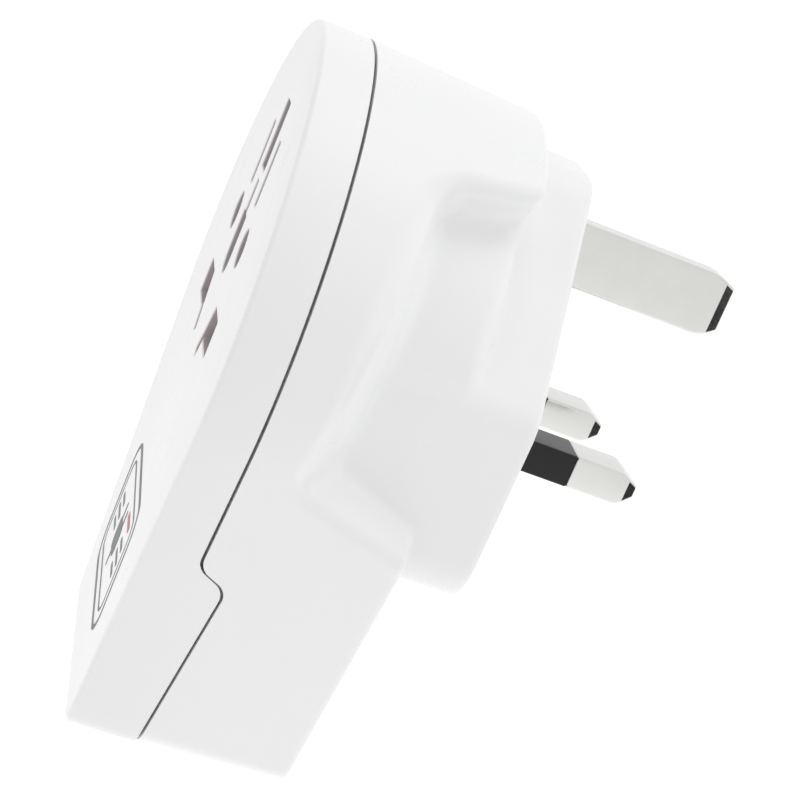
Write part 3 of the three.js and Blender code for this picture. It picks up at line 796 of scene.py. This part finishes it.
def earth_pin(edge):
    """The long pin. Its top and bottom round over before the tip, and its sides are cut off there."""
    length = EARTH_LENGTH
    stages = [(PIN_ROOT_Y, 0, 0), (19.1, 0, 0), (19.7, 0, 0.04), (20.3, 0.01, 0.14), (20.8, 0.02, 0.28)]
    stages += [(21.3, 0.03, 0.48), *cut_off((21.35, 0.07, 0.52), (length - 0.07, 0.98, 1.08))]
    stages += [(length, 1.06, 1.16)]
    shoulder = (-3.4, -5, 17), (3.4, -BASE_WALL - 0.1, 27.4)
    return blade("earth_pin_plated", 0, EARTH_Z, EARTH_WIDTH, EARTH_HEIGHT, stages, edge, shoulder)


def power_pin(name, side, edge):
    """A pin necked under its sleeve. Top and bottom taper first, and the sides only at the tip."""
    neck = SLEEVE_WALL + 0.05
    neck_end = SLEEVE_HIGH.y + 0.05
    length = POWER_LENGTH
    stages = [(PIN_ROOT_Y, neck, neck), (neck_end, neck, neck), (neck_end + 0.01, 0.1, 0.1)]
    stages += [(neck_end + 0.12, 0, 0), (15.3, 0, 0), (15.7, 0, 0.1), (16.35, 0.02, 0.46)]
    stages += [*cut_off((16.4, 0.06, 0.49), (length - 0.07, 0.9, 1.18)), (length, 0.98, 1.26)]
    low = min(side * 7.4, side * 14.8)
    shoulder = (low, -7.4, -2.9), (low + 7.4, -5.9, 2.9)
    return blade(name, side * POWER_X, 0, POWER_WIDTH, POWER_HEIGHT, stages, edge, shoulder)


def pin_sleeve(name, side):
    """A thin tube round the neck of a power pin, with a rounded end."""
    start, end = SLEEVE_LOW.y, SLEEVE_HIGH.y
    rounding = 0.1

    def layer(inset, y, corner):
        width, height = POWER_WIDTH - 2 * inset, POWER_HEIGHT - 2 * inset
        return ring(rounded_slot(side * POWER_X, 0, width, height, corner=corner), y)

    rings = [layer(0, start, SLEEVE_CORNER), layer(0, end - rounding, SLEEVE_CORNER)]
    for angle in np.radians((30, 60, 90)):
        inset = rounding * (1 - math.cos(angle))
        rings.append(layer(inset, end - rounding * (1 - math.sin(angle)), SLEEVE_CORNER))
    rings += [layer(SLEEVE_WALL, end, 0.2), layer(SLEEVE_WALL, start, 0.2)]
    return shade(loft(name, rings, closed=True))


# ---- fuse, screws and spring ----


def fuse_tube():
    """The fuse's ceramic body, necked at both ends where the caps fit on."""
    neck = TUBE_RADIUS - 0.4
    bore, chamfer = 0.9, 0.1
    low, high = TUBE_LOW.z, TUBE_HIGH.z
    step_low, step_high = CAP_HIGH.z - 0.1, high + 0.7 - (CAP_HIGH.z - CAP_LOW.z)
    profile = [(bore, low), (neck, low), (neck, step_low), (TUBE_RADIUS - chamfer, step_low)]
    profile += [(TUBE_RADIUS, step_low + chamfer), (TUBE_RADIUS, step_high - chamfer)]
    profile += [(TUBE_RADIUS - chamfer, step_high), (neck, step_high), (neck, high), (bore, high)]
    return shade(turned("fuse_ceramic_tube", profile))


def fuse_cap(name, closed_z, open_z):
    """A plated cup over one end of the fuse."""
    away = math.copysign(1, closed_z - open_z)
    edge, wall = 0.45, 0.45
    inner = TUBE_RADIUS - 0.35
    outside = [
        (CAP_RADIUS - edge + edge * math.cos(a), closed_z - away * edge + away * (edge * math.sin(a)))
        for a in np.radians(np.linspace(0, 90, 6))
    ]
    lip = [(inner, open_z), (CAP_RADIUS - 0.1, open_z), (CAP_RADIUS, open_z + away * 0.1)]
    dish = [(1.2, closed_z), (0.9, closed_z - away * 0.12), (0.02, closed_z - away * 0.16)]
    inside = [(0.02, closed_z - away * wall), (inner, closed_z - away * wall)]
    return shade(fix_normals(turned(name, lip + outside + dish + inside)))


def fix_normals(obj):
    work = bmesh.new()
    work.from_mesh(obj.data)
    bmesh.ops.recalc_face_normals(work, faces=work.faces)
    work.to_mesh(obj.data)
    work.free()
    return obj


def housing_screw(name, x, z):
    """A domed screw head with a three-armed recess, on a threaded shank."""
    head_top, head_low = SCREW_HEAD_Y, SCREW_HEAD_Y - 1.6
    root = SCREW_SHANK - THREAD_DEPTH
    thread = []
    for k in range(THREAD_TURNS):
        y = SCREW_TIP_Y + 0.6 + k * THREAD_PITCH
        thread += [(root, y), (SCREW_SHANK, y + THREAD_PITCH * 0.4), (root, y + THREAD_PITCH * 0.8)]
    profile = [(0.02, SCREW_TIP_Y), (SCREW_SHANK - 0.5, SCREW_TIP_Y), *thread]
    profile += [(SCREW_SHANK - 0.1, head_low), (SCREW_HEAD, head_low), (SCREW_HEAD, head_top - 0.6)]
    profile += [(SCREW_HEAD - 0.18, head_top - 0.3), (SCREW_HEAD - 0.6, head_top - 0.1)]
    profile += [(1.1, head_top - 0.01), (0.02, head_top)]
    screw = loft(name, [ring(circle(x, z, r), y) for r, y in profile])
    reach = 0.75
    for turn in (0, 120, 240):
        arm_x, arm_z = reach * math.cos(math.radians(turn)), reach * math.sin(math.radians(turn))
        slot = rounded_slot(x + arm_x, z - arm_z, 2 * reach, 0.5, turn, corner=0.1)
        shape_with(screw, "DIFFERENCE", prism("recess", slot, head_top - 0.55, head_top + 1))
    return shade(fix_normals(screw))


def shutter_spring():
    """A coil of round wire whose last turns lie flat."""
    centre = (SPRING_LOW + SPRING_HIGH) / 2
    coil = (SPRING_HIGH.x - SPRING_LOW.x) / 2 - SPRING_WIRE
    low, high = SPRING_LOW.z + SPRING_WIRE, SPRING_HIGH.z - SPRING_WIRE
    steps = SPRING_TURNS * WIRE_STEPS
    curve = bpy.data.curves.new("shutter_spring_wire", "CURVE")
    curve.dimensions = "3D"
    curve.bevel_depth = SPRING_WIRE * MM
    curve.bevel_resolution = 4
    curve.use_fill_caps = True
    spline = curve.splines.new("POLY")
    spline.points.add(steps)
    for k in range(steps + 1):
        share = k / steps
        angle = 2 * math.pi * SPRING_TURNS * share
        eased = min(max((share - 0.08) / 0.84, 0), 1)
        z = low + (high - low) * (0.04 * share + 0.96 * eased)
        place = (centre.x + coil * math.cos(angle), centre.y + coil * math.sin(angle), z)
        spline.points[k].co = (place[0] * MM, place[1] * MM, place[2] * MM, 1)
    path = new_object("spring_path", curve)
    mesh = finished_mesh(path)
    bpy.data.objects.remove(path)
    return shade(new_object("shutter_spring_wire", mesh))


# ---- print on the face ----


def print_patch(name, outlines):
    """Thin flat patches of ink on the socket face."""
    start, end = FACE_Y - PRINT_LIFT, FACE_Y + 0.02
    first, *others = [prism(name, outline, start, end) for outline in outlines]
    return shape_with(first, "UNION", *others)


def outline_band(name, x, z, width, height, corner, line):
    """A printed line of even width round a rounded rectangle."""
    band = print_patch(name, [rounded_slot(x, z, width, height, corner=corner)])
    inside = rounded_slot(x, z, width - 2 * line, height - 2 * line, corner=corner - line)
    return shape_with(band, "DIFFERENCE", prism("opening", inside, FACE_Y - 1, FACE_Y + 1))


def face_mark():
    """A pictogram of a two-pin plug with its lead, in a double frame."""
    x, z = MARK_PLACE
    frame = outline_band("face_mark", x, z, 29, 17, 4.4, MARK_LINE)
    inner_frame = outline_band("inner_frame", x, z, 24.6, 12.6, 2.6, MARK_LINE * 0.6)
    plug = print_patch(
        "plug_mark",
        [
            rounded_slot(x, z - 0.4, 5.6, 4.2, corner=1.4),
            rounded_slot(x - 1.4, z + 2.4, 0.9, 2.6, corner=0.3),
            rounded_slot(x + 1.4, z + 2.4, 0.9, 2.6, corner=0.3),
            rounded_slot(x, z - 3.4, 0.8, 2.2, corner=0.3),
        ],
    )
    bars = [
        rounded_slot(x + side * 7.6, z + 1.7 * level, 5 - 0.9 * abs(level), 0.7, corner=0.3)
        for side in (1, -1)
        for level in (-1, 0, 1)
    ]
    shape_with(frame, "UNION", inner_frame, plug, print_patch("side_marks", bars))
    return frame


def face_accent():
    """A short red bar over the pictogram."""
    x, z = MARK_PLACE
    return print_patch("face_accent", [rounded_slot(x + 6.2, z + 4.2, 5.6, 0.9, corner=0.3)])


# ---- shader node groups ----


def set_inputs(tree, node, values):
    """Sets a node's inputs, each to a value or from another node's socket."""
    for key, value in values.items():
        if isinstance(value, bpy.types.NodeSocket):
            tree.links.new(value, node.inputs[key])
        else:
            node.inputs[key].default_value = value


def add_node(tree, kind, values=None, **settings):
    """A node with its settings and its inputs."""
    node = tree.nodes.new(kind)
    for key, value in settings.items():
        setattr(node, key, value)
    set_inputs(tree, node, values or {})
    return node


def place_in_mm(tree):
    """The place on the surface, in the piece's own space, in millimetres."""
    scale = {0: add_node(tree, "ShaderNodeTexCoord").outputs["Object"], "Scale": 1 / MM}
    return add_node(tree, "ShaderNodeVectorMath", scale, operation="SCALE").outputs[0]


def stretched(tree, place, scale, rotation=(0, 0, 0)):
    """A place turned and stretched, so that a texture runs in lines."""
    values = {"Vector": place, "Rotation": rotation, "Scale": scale}
    return add_node(tree, "ShaderNodeMapping", values).outputs[0]


def noise(tree, vector, scale, detail=2.0, roughness=0.5):
    values = {"Vector": vector, "Scale": scale, "Detail": detail, "Roughness": roughness}
    return add_node(tree, "ShaderNodeTexNoise", values).outputs["Fac"]


def remap(tree, value, from_low, from_high, to_low=0.0, to_high=1.0):
    values = {"Value": value, "From Min": from_low, "From Max": from_high}
    values |= {"To Min": to_low, "To Max": to_high}
    return add_node(tree, "ShaderNodeMapRange", values).outputs["Result"]


def math_node(tree, operation, first, second):
    return add_node(tree, "ShaderNodeMath", {0: first, 1: second}, operation=operation).outputs[0]


def moulded_grain(tree, given):
    """Texture of a moulded plastic surface: fine spark grain, and slow waves of shrinkage."""
    place = place_in_mm(tree)
    fine = noise(tree, place, given["Grain per mm"], 2)
    waves = math_node(tree, "MULTIPLY", noise(tree, place, 0.12, 2), given["Waviness"])
    height = math_node(tree, "ADD", fine, waves)
    return {"Height": height, "Mottle": noise(tree, place, 0.05, 3)}


def handling_marks_and_highlight(tree, given):
    """Faint rub marks and hairline scratches from use as masks, and a mask of sharp edges for a painted
    highlight.
    """
    place = place_in_mm(tree)
    rub = noise(tree, place, given["Marks per mm"], 5, 0.6)
    high = math_node(tree, "ADD", given["Spread"], 0.22)
    scratches = {"Vector": stretched(tree, place, (0.04, 1.6, 1.6), (0.5, 0.3, 0.7)), "Scale": 0.9}
    lines = add_node(tree, "ShaderNodeTexVoronoi", scratches, feature="DISTANCE_TO_EDGE")
    sharp = add_node(tree, "ShaderNodeNewGeometry").outputs["Pointiness"]
    return {
        "Rub": remap(tree, rub, given["Spread"], high),
        "Hairline": remap(tree, lines.outputs["Distance"], 0.0, 0.012, 1.0, 0.0),
        # Sharp edges by pointiness, where metals get a painted highlight.
        "Edge": remap(tree, sharp, 0.52, 0.62),
    }


def drawn_metal(tree, given):
    """Fine lines that run along Y, as drawing and polishing leave on metal."""
    place = place_in_mm(tree)
    lines = noise(tree, stretched(tree, place, (1, 0.03, 1)), given["Lines per mm"], 3, 0.6)
    return {"Lines": lines, "Cloud": noise(tree, place, 0.35, 3)}


# Each effect that more than one finish uses: what fills its node group, and the group's inputs.
EFFECTS = {
    "Moulded grain": (moulded_grain, {"Grain per mm": 6.0, "Waviness": 0.4}),
    # Rub and hairline masks are wear; the edge mask is for a painted highlight.
    "Handling marks and highlight": (handling_marks_and_highlight, {"Marks per mm": 0.1, "Spread": 0.5}),
    "Drawn metal": (drawn_metal, {"Lines per mm": 5.0}),
}


def effect_group(name):
    """An effect's node group, built the first time it is asked for."""
    if name in bpy.data.node_groups:
        return bpy.data.node_groups[name]
    fill, inputs = EFFECTS[name]
    group = bpy.data.node_groups.new(name, "ShaderNodeTree")
    for label, default in inputs.items():
        socket = group.interface.new_socket(name=label, in_out="INPUT", socket_type="NodeSocketFloat")
        socket.default_value = default
    made = fill(group, group.nodes.new("NodeGroupInput").outputs)
    for label in made:
        group.interface.new_socket(name=label, in_out="OUTPUT", socket_type="NodeSocketFloat")
    set_inputs(group, group.nodes.new("NodeGroupOutput"), made)
    return group


def effect(tree, name, values):
    """The outputs of an effect placed in a material with its own values."""
    return add_node(tree, "ShaderNodeGroup", values, node_tree=effect_group(name)).outputs


# ---- materials ----


def new_material(name, **constants):
    """A material and its Principled shader, with the values that are the same all over set on it."""
    material = bpy.data.materials.new(name)
    material.use_nodes = True
    tree = material.node_tree
    shader = tree.nodes["Principled BSDF"]
    for key, value in constants.items():
        shader.inputs[key.replace("_", " ").title().replace("Ior", "IOR")].default_value = value
    return material, tree, shader


def mix_colours(tree, share, first, second):
    ends = [end if isinstance(end, bpy.types.NodeSocket) else (*end, 1) for end in (first, second)]
    values = {"Factor": share, 6: ends[0], 7: ends[1]}
    return add_node(tree, "ShaderNodeMix", values, data_type="RGBA").outputs[2]


def shade_of(colour, factor):
    return tuple(min(1, channel * factor) for channel in colour)


def bumped(tree, height, strength, millimetres):
    """A normal bumped by a height."""
    values = {"Height": height, "Strength": strength, "Distance": millimetres * MM}
    return add_node(tree, "ShaderNodeBump", values).outputs[0]


def plastic(name, colour, roughness, grain=6.0, bump=0.02, recess=None, **constants):
    """A moulded plastic: mottled colour, painted shade in recesses, grain in the gloss, rubs and
    hairlines.
    """
    material, tree, shader = new_material(name, **constants)
    surface = effect(tree, "Moulded grain", {"Grain per mm": grain})
    marks_and_highlight = effect(tree, "Handling marks and highlight", {"Spread": 0.55})
    mottle = remap(tree, surface["Mottle"], 0.3, 0.7)
    mottled = mix_colours(tree, mottle, shade_of(colour, 0.988), shade_of(colour, 1.008))
    rub = math_node(tree, "MULTIPLY", marks_and_highlight["Rub"], 0.15)
    worn_and_painted_shade = mix_colours(tree, rub, mottled, shade_of(colour, 0.95))
    # Painted shade: the colour darkens towards the recess colour with depth into apertures and
    # recesses.
    if recess:
        depth = add_node(tree, "ShaderNodeAttribute", attribute_name="recess").outputs["Fac"]
        worn_and_painted_shade = mix_colours(tree, depth, worn_and_painted_shade, recess)
    gloss = remap(tree, surface["Height"], 0.4, 1.0, roughness - 0.04, roughness + 0.05)
    rubbed = math_node(tree, "MULTIPLY", marks_and_highlight["Rub"], 0.07)
    scratched = math_node(tree, "MULTIPLY", marks_and_highlight["Hairline"], 0.05)
    total = math_node(tree, "ADD", gloss, math_node(tree, "ADD", rubbed, scratched))
    relief = bumped(tree, surface["Height"], 0.25, bump)
    set_inputs(tree, shader, {"Base Color": worn_and_painted_shade, "Roughness": total, "Normal": relief})
    return material


def metal(name, colour, roughness, lines=5.0, tarnish=0.9, relief=0.2):
    """A plated or rolled metal: drawn lines, clouds of tarnish and edges lightened as a painted
    highlight.
    """
    material, tree, shader = new_material(name, metallic=1.0)
    drawn = effect(tree, "Drawn metal", {"Lines per mm": lines})
    marks_and_highlight = effect(tree, "Handling marks and highlight", {"Spread": 0.5})
    cloud = remap(tree, drawn["Cloud"], 0.35, 0.7)
    clouded = mix_colours(tree, cloud, colour, shade_of(colour, tarnish))
    # Painted highlight: sharp edges lightened as if they caught the light.
    edge = math_node(tree, "MULTIPLY", marks_and_highlight["Edge"], 0.4)
    with_painted_highlight = mix_colours(tree, edge, clouded, shade_of(colour, 1.12))
    gloss = remap(tree, drawn["Lines"], 0.3, 0.7, roughness * 0.85, roughness * 1.2)
    total = math_node(tree, "ADD", gloss, math_node(tree, "MULTIPLY", marks_and_highlight["Rub"], 0.06))
    normal = bumped(tree, drawn["Lines"], relief, 0.01)
    set_inputs(tree, shader, {"Base Color": with_painted_highlight, "Roughness": total, "Normal": normal})
    return material


# Each finish: what makes it, its colour or the setting that holds it, its roughness and the rest.
FINISHES = {
    # The white shells' recess colour is painted shade in their apertures and recesses.
    "White polycarbonate": (
        plastic, "adapter_shell.colour", 0.3, {"bump": 0.012, "recess": (0.52, 0.47, 0.47)}
    ),
    "Tinted acetal": (plastic, (0.33, 0.25, 0.25), 0.42, {"grain": 4.0}),
    "Cream nylon": (plastic, (0.62, 0.58, 0.5), 0.5, {"grain": 4.0, "bump": 0.03}),
    "Black nylon": (plastic, "adapter_pins.sleeve", 0.36, {"grain": 5.0, "specular_ior_level": 0.3}),
    "Dark ink": (plastic, "adapter_shell.ink", 0.4, {"grain": 9.0, "bump": 0.006}),
    "Red ink": (plastic, "adapter_shell.accent", 0.4, {"grain": 9.0, "bump": 0.006}),
    "Nickel plate": (
        metal, "adapter_pins.plating", 0.17, {"lines": 3.0, "tarnish": 0.97, "relief": 0.05}
    ),
    "Rolled brass": (metal, (0.72, 0.53, 0.24), 0.3, {"lines": 3.0, "tarnish": 0.8}),
    "Zinc-plated steel": (metal, (0.56, 0.57, 0.58), 0.32, {"lines": 2.0, "tarnish": 0.85}),
    "Fuse ceramic": (plastic, (0.72, 0.69, 0.61), 0.55, {"grain": 3.0, "bump": 0.03}),
}


def material_of(finish):
    """A finish's material, made the first time it is asked for."""
    if finish in bpy.data.materials:
        return bpy.data.materials[finish]
    make, colour, roughness, rest = FINISHES[finish]
    if isinstance(colour, str):
        colour = tuple(bpy.context.scene.path_resolve(colour))
    return make(finish, colour, roughness, **rest)


# ---- operators ----


class ADAPTER_OT_front_shell(bpy.types.Operator):
    """Makes the front cover with its socket apertures"""

    bl_idname = "adapter.front_shell"
    bl_label = "Front shell"

    def execute(self, context):
        shell = front_shell(context.scene.adapter_shell)
        install(shell, "case", "White polycarbonate", "white_shell", "front_cover")
        return {"FINISHED"}


class ADAPTER_OT_rear_shell(bpy.types.Operator):
    """Makes the rear housing with its finger grips and plug base"""

    bl_idname = "adapter.rear_shell"
    bl_label = "Rear shell"

    def execute(self, context):
        shell = rear_shell(context.scene.adapter_shell)
        install(shell, "case", "White polycarbonate", "white_shell", "rear_housing")
        return {"FINISHED"}


class ADAPTER_OT_pins(bpy.types.Operator):
    """Makes the three plug pins and the two sleeves"""

    bl_idname = "adapter.pins"
    bl_label = "Pins and sleeves"

    def execute(self, context):
        edge = context.scene.adapter_pins.edge / MM
        install(earth_pin(edge), "case", "Nickel plate", "plated_pin", "earth_pin")
        for name, side in (("live", 1), ("neutral", -1)):
            pin = power_pin(f"{name}_pin_plated", side, edge)
            install(pin, "case", "Nickel plate", "plated_pin", f"{name}_pin")
            tube = pin_sleeve(f"{name}_pin_tube", side)
            install(tube, "case", "Black nylon", "black_sleeve", f"{name}_pin_sleeve")
        return {"FINISHED"}


class ADAPTER_OT_shutter(bpy.types.Operator):
    """Makes the safety shutter and its spring"""

    bl_idname = "adapter.shutter"
    bl_label = "Shutter"

    def execute(self, context):
        plate = refined_copy("safety_shutter", "safety_shutter_plate", 0.2)
        install(plate, "shutter", "Tinted acetal", "tinted_shutter", "safety_shutter")
        wire = shutter_spring()
        install(wire, "case", "Zinc-plated steel", "spring_steel", "shutter_spring")
        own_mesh(wire)
        return {"FINISHED"}


class ADAPTER_OT_contacts(bpy.types.Operator):
    """Makes the contact carrier, the contacts, the straps and the fuse clips"""

    bl_idname = "adapter.contacts"
    bl_label = "Contacts"

    def execute(self, context):
        carrier = refined_copy("contact_carrier", "contact_carrier_plate", 0.15)
        install(carrier, "case", "Cream nylon", "cream_moulding", "contact_carrier")
        strips = ["live_contact", "neutral_contact", "earth_contact", "earth_strap", "neutral_strap"]
        strips += ["live_feed_strap", "live_pin_strap", "fuse_clip_lower", "fuse_clip_upper"]
        for node in strips:
            strip = refined_copy(node, f"{node}_strip", 0.1)
            install(strip, "case", "Rolled brass", "brass_strip", node)
        return {"FINISHED"}


class ADAPTER_OT_fuse(bpy.types.Operator):
    """Makes the fuse and the carrier that holds it"""

    bl_idname = "adapter.fuse"
    bl_label = "Fuse and carrier"

    def execute(self, context):
        install(fuse_tube(), "fuse_drawer", "Fuse ceramic", "fuse_tube", "fuse_body")
        ends = {"lower": (CAP_LOW.z, CAP_HIGH.z), "upper": (UPPER_CAP_HIGH.z, UPPER_CAP_LOW.z)}
        for end, (closed_z, open_z) in ends.items():
            cap = fuse_cap(f"fuse_cap_{end}_plated", closed_z, open_z)
            install(cap, "fuse_drawer", "Nickel plate", "plated_cap", f"fuse_cap_{end}")
        carrier = refined_copy("fuse_carrier", "fuse_carrier_moulding", 0.3)
        install(carrier, "fuse_drawer", "White polycarbonate", "white_carrier", "fuse_carrier")
        return {"FINISHED"}


class ADAPTER_OT_screws(bpy.types.Operator):
    """Makes the four screws that close the case"""

    bl_idname = "adapter.screws"
    bl_label = "Screws"

    def execute(self, context):
        for number, (x, z) in enumerate(SCREWS, 1):
            screw = housing_screw(f"case_screw_{number}", x, z)
            install(screw, "case", "Zinc-plated steel", "screw_steel", f"housing_screw_{number}")
        return {"FINISHED"}


class ADAPTER_OT_face_print(bpy.types.Operator):
    """Prints a plain pictogram on the socket face"""

    bl_idname = "adapter.face_print"
    bl_label = "Face print"

    def execute(self, context):
        install(face_mark(), "case", "Dark ink", "black_sleeve")
        install(face_accent(), "case", "Red ink", "black_sleeve")
        return {"FINISHED"}


class ADAPTER_OT_stage(bpy.types.Operator):
    """Sets up the camera, the floor and the lights"""

    bl_idname = "adapter.stage"
    bl_label = "Stage"

    def execute(self, context):
        stage = context.scene.adapter_stage
        context.scene.view_settings.view_transform = "Standard"
        place_camera(stage)
        place_floor(stage)
        place_card()
        place_lights(stage)
        return {"FINISHED"}


# ---- stage ----


def place_camera(stage):
    target = Vector((1.6, -10.4, -2.3)) * MM
    level, azimuth = math.cos(stage.elevation), stage.azimuth
    back = Vector((level * math.cos(azimuth), -level * math.sin(azimuth), math.sin(stage.elevation)))
    right = Vector((0, 0, 1)).cross(back).normalized()
    turn = Matrix((right, back.cross(right), back)).transposed().to_4x4()
    camera = new_object("camera", bpy.data.cameras.new("camera"))
    camera.data.lens = stage.lens
    camera.data.sensor_width = 36
    camera.data.clip_start = 0.01
    place = Matrix.Translation(target + back * stage.distance)
    camera.matrix_world = place @ turn @ Matrix.Rotation(stage.roll, 4, "Z")
    bpy.context.scene.camera = camera


def place_floor(stage):
    """A broad pale floor, well below the object."""
    half, depth = 4.0 / MM, BOTTOM_Z - 160
    corners = [(-half, -half, depth), (half, -half, depth), (half, half, depth), (-half, half, depth)]
    floor = mesh_object("floor", corners, [(0, 1, 2, 3)])
    material, tree, shader = new_material("Pale floor", roughness=0.8, emission_strength=1.0)
    lit = add_node(tree, "ShaderNodeLightPath").outputs["Is Diffuse Ray"]
    light = mix_colours(tree, lit, (stage.white,) * 3, (stage.glow,) * 3)
    place = add_node(tree, "ShaderNodeTexCoord").outputs["Object"]
    colour = tuple(stage.floor)
    mottled = mix_colours(tree, noise(tree, place, 3.0), shade_of(colour, 0.99), colour)
    set_inputs(tree, shader, {"Emission Color": light, "Base Color": mottled})
    floor.data.materials.append(material)


def place_card():
    """A black card behind the pins, seen only in their reflections."""
    left, right, low, high, depth = -50, 140, -110, 20, 262
    corners = [(left, depth, low), (right, depth, low), (right, depth, high), (left, depth, high)]
    card = mesh_object("card", corners, [(0, 1, 2, 3)])
    material, tree, shader = new_material("Black card", roughness=0.9)
    place = add_node(tree, "ShaderNodeTexCoord").outputs["Object"]
    felt = mix_colours(tree, noise(tree, place, 200.0), (0.004,) * 3, (0.01,) * 3)
    set_inputs(tree, shader, {"Base Color": felt})
    card.data.materials.append(material)
    card.visible_camera = False
    card.visible_diffuse = False
    card.visible_shadow = False


def area_light(name, place, size, power):
    """A round light, at a place in metres, that shines on the adapter and isn't seen in it."""
    lamp = new_object(name, bpy.data.lights.new(name, "AREA"))
    lamp.data.shape = "DISK"
    lamp.data.size = size
    lamp.data.energy = power
    lamp.location = place
    lamp.visible_glossy = False
    aim = Vector((0, -0.01, 0)) - Vector(place)
    lamp.rotation_euler = aim.to_track_quat("-Z", "Y").to_euler()


def place_lights(stage):
    world = bpy.data.worlds.new("studio")
    world.use_nodes = True
    tree = world.node_tree
    lit = add_node(tree, "ShaderNodeLightPath").outputs["Is Diffuse Ray"]
    strength = remap(tree, lit, 0, 1, 1.05, stage.sky)
    set_inputs(tree, tree.nodes["Background"], {"Color": (1, 1, 1, 1), "Strength": strength})
    bpy.context.scene.world = world
    area_light("key", (0.15, -0.55, 0.35), 0.45, stage.key)
    area_light("top", (0.0, 0.05, 0.6), 0.5, stage.top)
    area_light("rear", (0.28, 0.55, 0.3), 0.4, stage.rear)


# ---- panel and registration ----

STEPS = (
    ADAPTER_OT_stage,
    ADAPTER_OT_front_shell,
    ADAPTER_OT_rear_shell,
    ADAPTER_OT_pins,
    ADAPTER_OT_shutter,
    ADAPTER_OT_contacts,
    ADAPTER_OT_fuse,
    ADAPTER_OT_screws,
    ADAPTER_OT_face_print,
)


class ADAPTER_PT_panel(bpy.types.Panel):
    """Lists the steps that build the adapter"""

    bl_idname = "ADAPTER_PT_panel"
    bl_label = "Travel adapter"
    bl_space_type = "VIEW_3D"
    bl_region_type = "UI"
    bl_category = "Adapter"

    def draw(self, context):
        for step in STEPS:
            self.layout.operator(step.bl_idname)
        for settings in SETTINGS:
            group, box = getattr(context.scene, settings), self.layout.box()
            for name in group.__annotations__:
                box.prop(group, name)


SETTINGS = {
    "adapter_shell": ShellSettings,
    "adapter_pins": PinSettings,
    "adapter_stage": StageSettings,
}
CLASSES = (*SETTINGS.values(), *STEPS, ADAPTER_PT_panel)


def register():
    for cls in CLASSES:
        bpy.utils.register_class(cls)
    for name, group in SETTINGS.items():
        setattr(bpy.types.Scene, name, bpy.props.PointerProperty(type=group))


def unregister():
    for name in SETTINGS:
        delattr(bpy.types.Scene, name)
    for cls in reversed(CLASSES):
        bpy.utils.unregister_class(cls)


def main():
    register()
    for step in STEPS:
        family, name = step.bl_idname.split(".")
        getattr(getattr(bpy.ops, family), name)()


if __name__ == "__main__":
    main()
